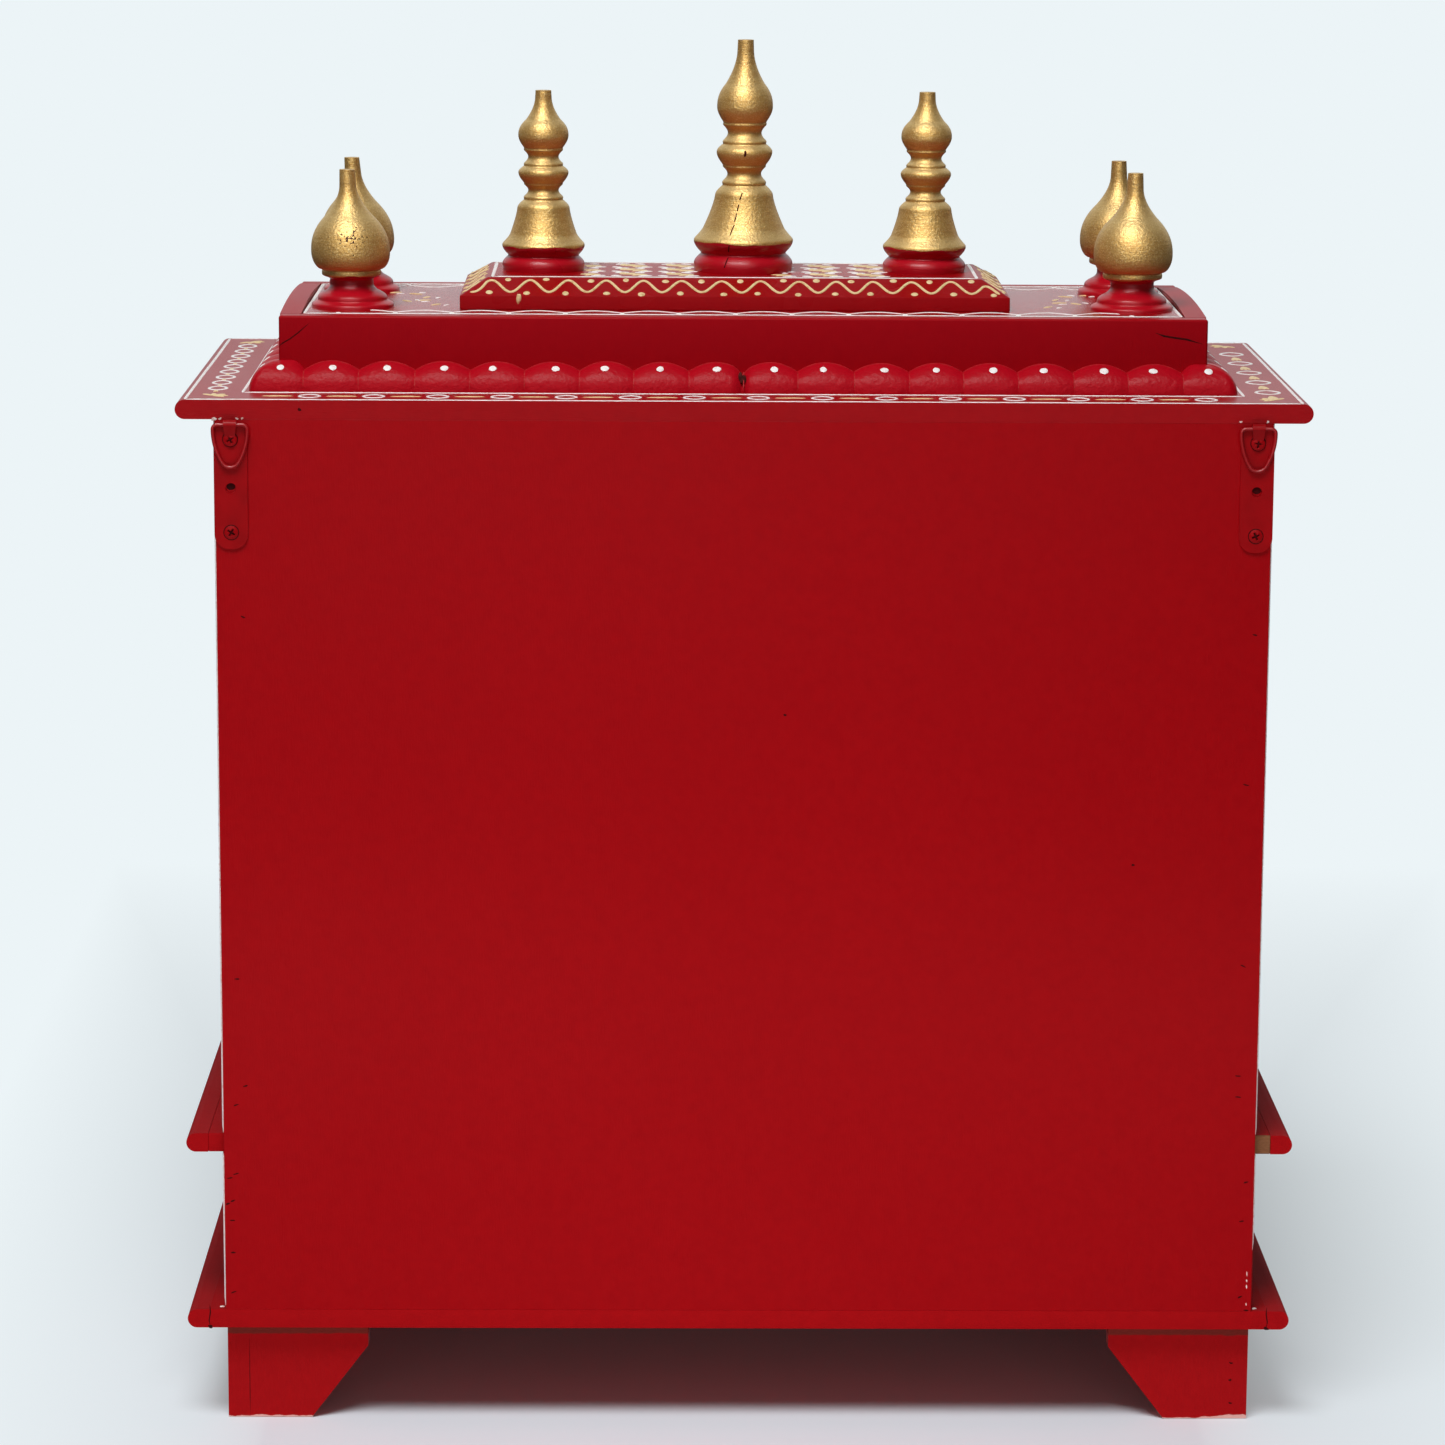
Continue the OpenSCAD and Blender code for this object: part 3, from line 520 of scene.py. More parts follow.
def gilded():
    """Gold paint over red: gold above the painter's edge, which the attribute gild measures in
    millimetres, with turning marks, pale flakes and, where worn says so, dark specks. The attribute
    tilt is the rise of the face, 1 level and up, -1 level and down: on faces turned down the gold is
    painted browner, as painted shade and a painted reflection of the red, and on faces turned up it
    is painted paler, as a painted highlight."""
    f = Finish("gold_paint_on_turned_wood")
    red, relief, cloud = enamel(f, (1, 1, 9))
    red = f.mix(0.7, red, RED_TURNED)
    edge = f.calc("ADD", f.attribute("gild"), f.ramp(f.noise(420, 2), 0, 1, -0.35, 0.35))
    gold = f.ramp(edge, -0.15, 0.15)
    marks = f.noise(120, 4, (1, 1, 5))
    flakes = f.noise(1500, 2)
    colour = f.mix(f.ramp(marks, 0.2, 0.8, 0.45, 1.0), GOLD_BROWN, GOLD)
    colour = f.mix(f.ramp(flakes, 0.5, 0.8, 0, 0.7), colour, GOLD_PALE)
    tilt = f.attribute("tilt")
    # Painted shade and a painted red reflection on faces turned down, and a painted highlight on faces
    # turned up
    colour = f.mix(f.ramp(tilt, 0.0, -0.7, 0, 0.7), colour, GOLD_PAINTED_SHADE)
    colour = f.mix(f.ramp(tilt, 0.3, 0.9, 0, 0.4), colour, GOLD_PALE)
    pits = f.ramp(f.noise(520, 2), 0.72, 0.76, 0, 0.6)
    wear = f.calc("MULTIPLY", f.attribute("worn"), 0.25)
    worn = f.ramp(f.calc("ADD", f.noise(620, 2), wear), 0.76, 0.8)
    colour = f.mix(pits, colour, GOLD_BROWN)
    colour = f.mix(worn, colour, SPECK)
    colour = f.mix(gold, red, colour)
    rough = f.calc("ADD", f.ramp(cloud, 0.3, 0.7, 0.27, 0.33), f.calc("MULTIPLY", gold, 0.17))
    crinkles = f.calc("MULTIPLY", f.noise(650, 3), gold)
    relief = f.bump(crinkles, 0.0003, f.bump(flakes, 0.00005, f.bump(marks, 0.00005, relief)))
    metal = f.calc("MULTIPLY", gold, 0.6)
    return f.apply(colour=colour, metal=metal, rough=rough, gloss=0.3, normal=relief)


def line_paint(name, full, thin):
    """Brushed line paint: full where it lies thick, and thinner in streaks."""
    f = Finish(name)
    streaks = f.noise(420, 3)
    colour = f.mix(f.ramp(streaks, 0.5, 0.75), full, thin)
    relief = f.bump(f.noise(1200, 2), 0.00005)
    rough = f.ramp(streaks, 0.3, 0.7, 0.38, 0.55)
    return f.apply(colour=colour, rough=rough, normal=relief)


def bare_wood():
    """Sawn wood: long grain along Y, with fibres across it."""
    f = Finish("drawer_wood")
    rings = f.noise(34, 4, (6, 0.35, 6))
    fibres = f.noise(500, 3, (3, 0.08, 3))
    colour = f.mix(f.ramp(rings, 0.35, 0.7), BARE, BARE_DARK)
    colour = f.mix(f.ramp(fibres, 0.45, 0.8, 0, 0.5), colour, BARE_DARK)
    rough = f.ramp(fibres, 0.3, 0.7, 0.6, 0.8)
    return f.apply(colour=colour, rough=rough, normal=f.bump(fibres, 0.0002))


def painted_steel(name, gloss):
    """Red paint over the steel hangers: thick, a little lumpy, thin and dark in places."""
    f = Finish(name)
    lumps = f.noise(260, 3)
    thin = f.noise(90, 4)
    colour = f.mix(f.ramp(thin, 0.35, 0.7), rgb(156, 9, 16), rgb(142, 8, 14))
    relief = f.bump(lumps, 0.00012)
    return f.apply(colour=colour, rough=f.ramp(lumps, 0.3, 0.7, 0.28, 0.36), gloss=gloss, normal=relief)


def brass():
    """Turned brass: fine rings from the lathe and a light tarnish."""
    f = Finish("turned_brass")
    tarnish = f.noise(130, 4)
    rings = f.noise(900, 2, (1, 6, 1))
    colour = f.mix(f.ramp(tarnish, 0.4, 0.7), rgb(222, 178, 92), rgb(166, 118, 54))
    rough = f.ramp(tarnish, 0.3, 0.7, 0.2, 0.36)
    return f.apply(colour=colour, metal=1.0, rough=rough, normal=f.bump(rings, 0.00004))


def mark(name, full, thin):
    """Old marks: pits, cracks and chips, uneven in tone. The same finish also serves for painted shade
    in the screw slots and painted highlights along the petal creases.
    """
    f = Finish(name)
    tone = f.noise(700, 3)
    colour = f.mix(f.ramp(tone, 0.35, 0.65), full, thin)
    rough = f.ramp(tone, 0.3, 0.7, 0.6, 0.85)
    return f.apply(colour=colour, rough=rough, gloss=0.1, normal=f.bump(tone, 0.0001))


UPRIGHT_RED = red_enamel("red_enamel_upright", (0.26, 0.32), 0.07)
FLAT_RED = red_enamel("red_enamel_flat", (0.18, 0.28), 0.5, brush=(1, 14, 14))
CORNICE_RED = red_enamel("red_enamel_cornice", (0.3, 0.38), 0.15, brush=(1, 14, 14))
RIM_RED = red_enamel("red_enamel_rim", (0.3, 0.38), 0.05, crimson=0.25)
EDGING_RED = red_enamel("red_enamel_edging", (0.42, 0.52), MATTE, brush=(14, 1, 14), chalk=CHALK)
CROWN_RED = red_enamel("red_enamel_crown", (0.24, 0.32), 0.06, brush=(1, 14, 14))
CARVED_RED = red_enamel("red_enamel_carved", (0.34, 0.42), 0.1, brush=(3, 3, 1), crimson=0.6,
                        lumps=0.0005)
FOOT_RED = foot_enamel()
SHELF_RED = shelf_enamel()
GILDED = gilded()
WHITE_LINES = line_paint("white_line_paint", WHITE, WHITE_THIN)
GOLD_LINES = line_paint("gold_line_paint", LINE_GOLD, LINE_OCHRE)
DRAWER_WOOD = bare_wood()
STEEL_RED = painted_steel("red_paint_on_steel", 0.1)
WIRE_RED = painted_steel("red_paint_on_wire", 0.5)
BRASS = brass()
# Dark marks: nails and cracks, and also painted shade in the screw slots and spare holes
DARK_MARKS_AND_SHADE = mark("dark_marks_and_painted_shade", rgb(40, 3, 5), rgb(72, 6, 8))
PALE_CHIPS = mark("pale_chips", UNDERCOAT, rgb(240, 226, 220))
# Pale strokes on the petals' creases and tops: painted highlights
CREASE_HIGHLIGHT_PAINT = mark("painted_crease_highlights", rgb(188, 62, 62), rgb(166, 30, 34))
BARE_CHIPS = mark("bare_chips", rgb(84, 22, 16), rgb(48, 10, 8))


# Pieces

def add_object(name, data):
    """A new object in the scene."""
    made = bpy.data.objects.new(name, data)
    bpy.context.scene.collection.objects.link(made)
    return made


def add_piece(name, shape, material, body="cabinet", stands_for=(), values=None):
    """A smooth mesh object from a skin in millimetres, sharp where faces meet at over 38 degrees."""
    points, faces = shape
    mesh = bpy.data.meshes.new(name)
    mesh.from_pydata((points * MM).tolist(), [], [face for part in faces for face in part.tolist()])
    mesh.polygons.foreach_set("use_smooth", np.ones(len(mesh.polygons), bool))
    mesh.set_sharp_from_angle(angle=math.radians(38))
    mesh.materials.append(material)
    for key, column in (values or {}).items():
        mesh.attributes.new(key, "FLOAT", "POINT").data.foreach_set("value", column.astype(np.float32))
    mesh.update()
    piece = add_object(name, mesh)
    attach(piece, body)
    if stands_for:
        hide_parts(*stands_for)


# Finishes by how a node's name starts; the others are upright red
FINISHES = {"foot_boards": FOOT_RED, "drawer_box": DRAWER_WOOD, "drawer_knobs": BRASS,
            "hanger": STEEL_RED, "ring": WIRE_RED, "cornice": CORNICE_RED, "canopy_deck": FLAT_RED,
            "canopy": RIM_RED, "base": EDGING_RED, "shelf_board": SHELF_RED,
            "shelf_edging": EDGING_RED, "front_post": CARVED_RED}
SOFT_BOARDS = ("back_panel", "base_board", "shelf_board", "canopy_deck", "canopy_board_back",
               "canopy_board_front", "drawer_divider", "drawer_front_left", "drawer_front_right",
               "upper_wall_left", "upper_wall_right", "lower_wall_left", "lower_wall_right")


def finish_of(name):
    """The finish of a node."""
    return next((f for start, f in FINISHES.items() if name.startswith(start)), UPRIGHT_RED)


def dress_nodes():
    """Finishes of the CAD nodes."""
    for name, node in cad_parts.items():
        node.data.materials.clear()
        node.data.materials.append(finish_of(name))


def soft_boards():
    """The plain boards again, with soft arrises that catch the light."""
    for node in SOFT_BOARDS:
        shape = soft_board(*span(node), ARRISES.get(node, BOARD_ARRIS))
        add_piece(f"{node}_painted", shape, finish_of(node), stands_for=[node])


def crown_block():
    """The bevelled block under the kalashes, as rounded rectangles that shrink up the bevel."""
    low, high = CROWN_LOW[2] - CROWN_MID[2], CROWN_HIGH[2] - CROWN_MID[2]
    face = low + CROWN_FACE
    slope = (high - face) / CROWN_BEVEL
    stations = [(low, 0.5, 0.6), (low + 0.5, 0, 1.1), (face - 0.5, 0, 1.1), (face, 0.15, 1.1),
                (face + 0.7 * slope, 0.9, 1.1), (high - 0.7 * slope, CROWN_BEVEL - 0.9, 1.1),
                (high - 0.05, CROWN_BEVEL, 1.1), (high, CROWN_BEVEL + 0.8, 1.1)]
    shape = block(CROWN_MID, (CROWN_HIGH - CROWN_LOW) / 2, stations, 2)
    add_piece("crown_block_painted", shape, CROWN_RED, stands_for=["crown_block"])


def kalash_outline(full, stem, bulb, lip):
    """Foot, bell, two collared necks, bead, bulb and spout."""
    collar, groove, neck, belly, tip = 0.805 * bulb, 0.77 * bulb, 0.615 * bulb, 1.02 * bulb, 4.4
    rise = full - 1.13 * stem
    return softened(outline([
        (0, 0.99 * lip, "line"), (0.055 * stem, 1.012 * lip, "swell"),
        (0.125 * stem, 0.857 * lip, "round"), (0.2136 * stem, 1.018 * lip, "swell"),
        (0.226 * stem, 1.005 * lip, "line"),
        (0.311 * stem, 0.813 * lip, "flare"), (0.5185 * stem, 1.065 * bulb, "flare"),
        (0.594 * stem, groove, "round"), (0.599 * stem, collar, "line"), (0.617 * stem, collar, "line"),
        (0.67 * stem, neck, "swell"), (0.715 * stem, groove, "round"), (0.72 * stem, collar, "line"),
        (0.727 * stem, groove, "line"), (0.821 * stem, belly, "swell"), (0.877 * stem, groove, "round"),
        (0.881 * stem, collar, "line"), (0.895 * stem, collar, "line"), (0.95 * stem, neck, "swell"),
        (stem, groove, "round"), (1.006 * stem, collar, "line"), (1.016 * stem, collar, "line"),
        (1.02 * stem, groove, "line"), (1.13 * stem, belly, "swell"),
        (full - 0.655 * rise, 0.71 * bulb, "dome"), (full - 0.155 * rise, 1.05 * tip, "hollow"),
        (full, tip, "line")]))


def onion_outline(full, bulb):
    """Two rounded discs, a neck, a ring and an onion bulb drawn out to a tip."""
    foot, disc, neck, ring, tip = 1.05 * bulb, 0.885 * bulb, 0.55 * bulb, 0.757 * bulb, 4.2
    return softened(outline([
        (0, foot, "line"), (1.6, foot, "line"), (3.8, disc, "round"), (5.4, disc, "line"),
        (9.6, 0.64 * bulb, "round"), (12.6, neck, "swell"), (15.4, neck, "line"),
        (17.2, 0.94 * ring, "round"), (17.7, ring, "line"),
        (20.2, ring, "line"), (20.6, 0.96 * ring, "line"), (30.4, 1.005 * bulb, "ball"),
        (50.5, 0.595 * bulb, "dome"), (67.0, 1.1 * tip, "hollow"), (full, tip, "line")]))


# Where the gold starts: a height on the onions, and a share of the stem on the kalashes
ONION_GOLD_FROM = 17.4
KALASH_GOLD_FROM = 0.206
# The onion with dark specks, their height and the reach of the speckled patch
SPECKLED = "onion_back_right"
SPECK_HEIGHT = 39.5
SPECK_REACH = 7.0
# Stem height, bulb radius, lip radius and lean of each kalash
KALASHES = {"kalash_left": (66.5, 13.8, 22.8, -0.008), "kalash_middle": (81.0, 15.3, 27.4, -0.006),
            "kalash_right": (66.5, 13.8, 22.8, 0.0)}
# Lean and bulb radius of each corner finial
ONIONS = {"onion_back_left": (-0.012, 21.7), "onion_back_right": (0.036, 21.7),
          "onion_front_left": (0.01, 21.7), "onion_front_right": (0.07, 20.4)}


def foot_of(name):
    """The middle of a node's foot, and its height."""
    low, high = span(name)
    return np.array([(low[0] + high[0]) / 2, (low[1] + high[1]) / 2, low[2]]), high[2] - low[2]


def finial(name, profile, gold_from, lean, seed, worn=0.0):
    """A turned and gilded finial. The gold's lower edge swings up and down round the piece."""
    foot = foot_of(name)[0]
    shape = turned(profile, foot, lean, twist=seed)
    rel = shape[0] - foot
    angle = np.arctan2(rel[:, 1], rel[:, 0])
    swing = waves(angle, (2, 5, 9), seed, (0.45, 0.3, 0.2))
    belly = np.exp(-((rel[:, 2] - SPECK_HEIGHT) / SPECK_REACH) ** 2)
    belly *= np.exp(-((angle - TAU / 4) / 0.5) ** 2)
    # The rise of each face, which sets the painted shade and painted highlight on the gold
    rise = np.gradient(profile, axis=0)
    tilt = np.repeat(-rise[:, 0] / np.hypot(*rise.T), len(rel) // len(profile))
    values = {"gild": rel[:, 2] - gold_from + swing, "worn": worn * belly, "tilt": tilt}
    add_piece(f"{name}_gilded", shape, GILDED, stands_for=[name], values=values)


# Cracks down the middle kalash, as [X from its axis, height], and its nick
CRACKS = (((1.1, 45.0), (1.8, 43.0), (2.6, 40.5)), ((2.9, 38.6), (3.5, 36.5), (4.0, 34.6)),
          ((4.2, 33.8), (4.8, 31.0), (5.5, 28.6)), ((5.3, 27.6), (6.4, 25.2), (7.9, 21.6)),
          ((8.2, 17.0), (8.6, 14.0), (8.6, 12.4)), ((8.5, 9.6), (9.6, 7.4), (11.0, 3.6)))
NICK = ((0.0, 68.2), (-0.3, 66.6), (0.2, 64.6))


def on_turned(profile, lean, points):
    """Fine points along a line on the back of a turned piece, at X from its leaning axis and a
    height: Y is sqrt(radius^2 - X^2). Gives them, from the piece's foot, and their level normals."""
    corners = np.array(points)
    at = np.linspace(0, len(corners) - 1, 13)
    x, height = (np.interp(at, np.arange(len(corners)), column) for column in corners.T)
    y = np.sqrt(np.interp(height, profile[:, 1], profile[:, 0]) ** 2 - x ** 2)
    place = np.stack([x + lean * height, y, height], 1)
    return place, unit(np.stack([x, y, 0 * x], 1))


def kalash_cracks():
    """Hair cracks down the middle kalash, and a nick in its bead."""
    stem, bulb, lip, lean = KALASHES["kalash_middle"]
    foot, full = foot_of("kalash_middle")
    profile = kalash_outline(full, stem, bulb, lip)
    strokes = []
    for points, width in [(points, 0.8) for points in CRACKS] + [(NICK, 1.3)]:
        place, normal = on_turned(profile, lean, points)
        strokes.append(stroke(place + foot, normal, width, 0.2))
    add_piece("kalash_cracks", joined(strokes), DARK_MARKS_AND_SHADE)


def finials():
    """Three kalashes on the crown block and four onions at the corners of the deck."""
    for seed, (name, (stem, bulb, lip, lean)) in enumerate(KALASHES.items()):
        profile = kalash_outline(foot_of(name)[1], stem, bulb, lip)
        finial(name, profile, KALASH_GOLD_FROM * stem, lean, seed)
    for seed, (name, (lean, bulb)) in enumerate(ONIONS.items()):
        profile = onion_outline(foot_of(name)[1], bulb)
        finial(name, profile, ONION_GOLD_FROM, lean, 10 + seed, float(name == SPECKLED))


def petals():
    """Four mitred rows of carved petals, a white dot on each petal, and pale strokes on the creases and
    tops, which are painted highlights.
    """
    inner, outer, base = RIM_HIGH[0], PETALS_HIGH[0], PETALS_LOW[2]
    back, front = PETALS_HIGH[1], PETALS_FRONT_LOW[1]
    rows = {
        "petals_back": ((-outer, RIM_HIGH[1], base), X, Y, 2 * outer, PETALS_LONG, outer + 1.0),
        "petals_front": ((outer, RIM_FRONT_LOW[1], base), -X, -Y, 2 * outer, PETALS_LONG, None),
        "petals_left": ((-inner, front, base), Y, -X, back - front, PETALS_SIDE, None),
        "petals_right": ((inner, back, base), -Y, X, back - front, PETALS_SIDE, None),
    }
    dots, highlight_lines = [], []
    for seed, (name, (corner, along, out, length, count, dent)) in enumerate(rows.items()):
        row = petal_row(np.array(corner), along, out, length, count, 20 + seed, dent)
        shape, places, normals, creases = row
        highlight_lines += creases
        add_piece(f"{name}_carved", shape, CARVED_RED, stands_for=[name])
        sizes = np.random.default_rng(40 + seed).uniform(1.9, 2.5, (count, 2))
        dots += [dab(p, n, along, a, b, 0.3, 0.35, 0.06, k)
                 for k, (p, n, (a, b)) in enumerate(zip(places, normals, sizes))]
    add_piece("petal_dots", joined(dots), WHITE_LINES)
    add_piece("petal_crease_highlights", joined(highlight_lines), CREASE_HIGHLIGHT_PAINT)


def rectangle(low, high, axis, level):
    """Corners of a rectangle between two corners, square to an axis and at a level along it."""
    u, v = (side for side in range(3) if side != axis)
    corners = np.empty((4, 3))
    corners[:, axis] = level
    corners[:, u] = low[u], high[u], high[u], low[u]
    corners[:, v] = low[v], low[v], high[v], high[v]
    return corners


def leaf_spray(centre, normal, along, size, turn=0.0, fan=0.7, slim=0.34):
    """Three leaf-shaped dabs that fan out from one point."""
    across = np.cross(normal, along)
    spray = []
    for swing in (-fan, 0.0, fan):
        way = along * math.cos(turn + swing) + across * math.sin(turn + swing)
        spray.append(dab(centre + way * size, normal, way, size, slim * size))
    return spray


CORNICE_LINE_X = 299.5
CORNICE_LINE_WIDTH = 1.7
CORNICE_LINE_BACK = CORNICE_HIGH[1] - 1.9
CORNICE_LINE_FRONT = CORNICE_LOW[1] + 7
PETAL_LINE_X = PETALS_HIGH[0] + 2.8
PETAL_LINE_BACK = PETALS_HIGH[1] + 4.0
PETAL_LINE_FRONT = PETALS_FRONT_LOW[1] - 4.0
CHAIN_X = 286.0
# Pitch and half width of the ovals along each side strip, and the size of the leaves between them
CHAINS = {1: (25.0, 4.8, 3.4), -1: (45.0, 6.4, 7.4)}
# Pitch of the ovals along the back and front strips
STRIP_PITCH = 34.5


def cornice_lines():
    """White lines round the cornice and the petals. Between them runs a chain of white ovals, with
    gold leaves between the ovals and sprays of leaves at the corners."""
    z = CORNICE_HIGH[2]
    low, high = (-CORNICE_LINE_X, CORNICE_LINE_FRONT), (CORNICE_LINE_X, CORNICE_LINE_BACK)
    white = border(rectangle(low, high, 2, z), Z, CORNICE_LINE_WIDTH, seed=60)
    low, high = (-PETAL_LINE_X, PETAL_LINE_FRONT), (PETAL_LINE_X, PETAL_LINE_BACK)
    white += border(rectangle(low, high, 2, z), Z, CORNICE_LINE_WIDTH, seed=64)
    gold = []
    for side, (pitch, half, leaf) in CHAINS.items():
        for y in np.arange(95.0, -110.0, -pitch):
            spot = np.array([side * CHAIN_X, y, z])
            white.append(oval(spot, Z, X, half, 8.6, 1.7))
            gold += leaf_spray(spot + Y * (pitch / 2 - leaf), Z, Y, leaf, fan=0.16, slim=0.18)
        for end, y in ((1, 127.0), (-1, -127.0)):
            spot = np.array([side * CHAIN_X, y, z])
            gold += leaf_spray(spot, Z, -end * Y, 4.6)
            gold += leaf_spray(spot, Z, -side * X, 4.2)
    for y in ((CORNICE_LINE_BACK + PETAL_LINE_BACK) / 2, (CORNICE_LINE_FRONT + PETAL_LINE_FRONT) / 2):
        for x in np.arange(-249.0, 250.0, STRIP_PITCH):
            spot = np.array([x, y, z])
            white.append(oval(spot, Z, X, 5.6, 7.0))
            gold.append(dab(spot + X * STRIP_PITCH / 2, Z, X, 8.6, 1.4))
    add_piece("cornice_white_lines", joined(white), WHITE_LINES)
    add_piece("cornice_gold_leaves", joined(gold), GOLD_LINES)


DECK_LINE_INSET = 1.3
# Width of a scallop on the deck, and where the small leaves lie beside the onions, with their turns
SCALLOP = 31.0
DECK_LEAVES = (((196, -31), 0.5), ((184, -24), 2.6), ((177, -6), 1.2), ((178, 10), 0.2),
               ((187, 14), 2.2), ((170, 32), 1.0))


def deck_lines():
    """A white line round the deck, scallops between it and the crown block, and small leaves."""
    z = DECK_HIGH[2]
    edge = rectangle(DECK_LOW + DECK_LINE_INSET, DECK_HIGH - DECK_LINE_INSET, 2, z)
    white = border(edge, Z, seed=70)
    gold = []
    x = np.linspace(DECK_LOW[0] + 34, DECK_HIGH[0] - 34, 260)
    arch = np.abs(np.sin(np.pi * (x - CROWN_MID[0]) / SCALLOP))
    for out, start in ((1, CROWN_HIGH[1]), (-1, CROWN_LOW[1])):
        path = np.stack([x, start + out * (14.5 - 10.5 * arch), np.full_like(x, z)], 1)
        white.append(stroke(path, Z, 1.5))
        for spot in np.arange(CROWN_MID[0] - 217, CROWN_MID[0] + 218, SCALLOP):
            white.append(dab(np.array([spot, start + out * 17.5, z]), Z, X, 1.5, 1.3))
    for side in (-1, 1):
        for spot, turn in DECK_LEAVES:
            way = X * math.cos(turn) + Y * math.sin(turn)
            place = np.array([side * spot[0], spot[1], z])
            gold.append(dab(place, Z, way, 4.6, 1.5))
            white.append(dab(place + 7 * np.cross(Z, way), Z, way, 2.6, 1.1))
    add_piece("deck_white_lines", joined(white), WHITE_LINES)
    add_piece("deck_gold_leaves", joined(gold), GOLD_LINES)


# Length of one swing of the wave on the crown block's bevels
WAVE_PERIOD = 21.3


def bevel_wave(corner, along, inward, length, seed):
    """A gold wave on one bevel of the crown block, with a dot in each of its hollows. The wave is
    mid + swing sin(phase), where phase and swing drift a little, as drawn by hand."""
    rise = CROWN_HIGH[2] - CROWN_LOW[2] - CROWN_FACE
    slope = unit(inward * CROWN_BEVEL + Z * rise)
    normal = unit(Z * CROWN_BEVEL - inward * rise)
    tall = math.hypot(CROWN_BEVEL, rise)
    rng = np.random.default_rng(seed)
    s = np.linspace(5.5, length - 5.5, int(length * 1.2))
    drift = np.interp(s, np.linspace(0, length, 9), rng.uniform(-0.5, 0.5, 9))
    swing = np.interp(s, np.linspace(0, length, 12), rng.uniform(4.6, 5.8, 12))
    phase = TAU * s / WAVE_PERIOD + drift - 1.3
    up = 0.52 * tall + swing * np.sin(phase)
    ends = np.clip(np.minimum(s - s[0], s[-1] - s) / 9, 0, 1)
    up = 3.2 + (up - 3.2) * ends
    place = corner + along * s[:, None] + slope * up[:, None]
    pieces = [stroke(place, normal, 1.7, 0.5)]
    turns = np.arange(math.ceil(phase[0] / np.pi - 0.5), math.floor(phase[-1] / np.pi - 0.5) + 1)
    for turn in turns:
        at = np.interp((turn + 0.5) * np.pi, phase, s) + rng.uniform(-2, 2)
        high = 2.6 if turn % 2 == 0 else 0.84 * tall
        if high * CROWN_BEVEL / tall + 3 < min(at, length - at):
            spot = corner + along * at + slope * (high + rng.uniform(-0.7, 0.7))
            half_long, half_wide = rng.uniform(1.7, 2.2), rng.uniform(1.4, 1.9)
            pieces.append(dab(spot, normal, along, half_long, half_wide, 0.5, 0.1))
    return pieces


# Where the gold paint ran down the crown block's face, and how far in its white line lies
DRIP_X = 123.4
CROWN_LINE_INSET = CROWN_BEVEL + 2.4


def crown_lines():
    """Gold waves on the bevels and along the mitres, a white line round the top, and a row of small
    white and gold leaves between the kalashes."""
    low, high = CROWN_LOW, CROWN_HIGH
    z = low[2] + CROWN_FACE
    length = high - low
    sides = (((low[0], high[1]), X, -Y, length[0]), ((high[0], low[1]), -X, Y, length[0]),
             ((low[0], low[1]), Y, X, length[1]), ((high[0], high[1]), -Y, -X, length[1]))
    gold, white = [], []
    for seed, ((x, y), along, inward, run) in enumerate(sides):
        gold += bevel_wave(np.array([x, y, z]), along, inward, run, 80 + seed)
    drip = np.array([DRIP_X, high[1], z - 1.5])
    gold.append(dab(drip, Y, Z, 3.0, 1.3, 0.5, 0.1, 0.25, 7))
    edge = rectangle(low + CROWN_LINE_INSET, high - CROWN_LINE_INSET, 2, high[2])
    white += border(edge, Z, seed=90)
    for middle in (-52.0, 54.0):
        for k in range(5):
            spot = np.array([middle + 13.0 * (k - 2), CROWN_MID[1], high[2]])
            side = 1 - 2 * (k % 2)
            for row in (-24.0, 0.0, 24.0):
                gold += leaf_spray(spot + row * Y, Z, side * X, 5.2, TAU / 8)
                white.append(dab(spot + (row + 9 * side) * Y, Z, unit(X + 0.4 * Y), 4.4, 1.9))
                white.append(dab(spot + (row - 9 * side) * Y + 3 * X, Z, unit(X - 0.6 * Y), 3.4, 1.6))
    add_piece("crown_white_lines", joined(white), WHITE_LINES)
    add_piece("crown_gold_lines", joined(gold), GOLD_LINES)


WALL_LINE_INSET = 6.0
DRAWER_LINE_INSET = 9.0
# Length of the wall's edge on which the white has worn off, at the foot of one side
WORN_EDGE = 33.0


def wall_lines():
    """White lines round the outside of the side walls and round the drawer fronts, and down the
    walls' edges beside the back panel."""
    white = []
    seed = 100
    for side, sign in (("left", -1), ("right", 1)):
        for storey in ("upper", "lower"):
            low, high = span(f"{storey}_wall_{side}")
            x = high[0] if sign > 0 else low[0]
            corners = rectangle(low + WALL_LINE_INSET, high - WALL_LINE_INSET, 0, x)
            white += border(corners, sign * X, seed=seed)
            edge = np.array([x - 0.5 * sign, high[1], low[2] + 0.5])
            start = WORN_EDGE if (storey, side) == ("lower", "left") else 0.0
            end = high[2] - low[2] - 1
            white.append(ruled(edge + start * Z, edge + end * Z, Y, 1.1, 0.05, seed))
            seed += 4
        foot = np.array([sign * (PANEL_HIGH[0] + 2.4), PANEL_HIGH[1] - 5.0, BASE_HIGH[2]])
        white.append(dab(foot, Z, X, 1.5, 1.0, 0.5, 0.2, 0.3, seed))
        low, high = span(f"drawer_front_{side}")
        corners = rectangle(low + DRAWER_LINE_INSET, high - DRAWER_LINE_INSET, 1, low[1])
        white += border(corners, -Y, seed=seed)
        seed += 4
    add_piece("wall_white_lines", joined(white), WHITE_LINES)


STRAP_T = 1.2
SCREW_RADIUS = 3.8
# Heights of the two screws in each strap, and how far their heads stand off the strap
SCREWS = ((549.9, 1.0), (499.5, 0.0))
# Where the spare hole of a strap is, as X and height
SPARE_HOLE = (275.4, 523.5)


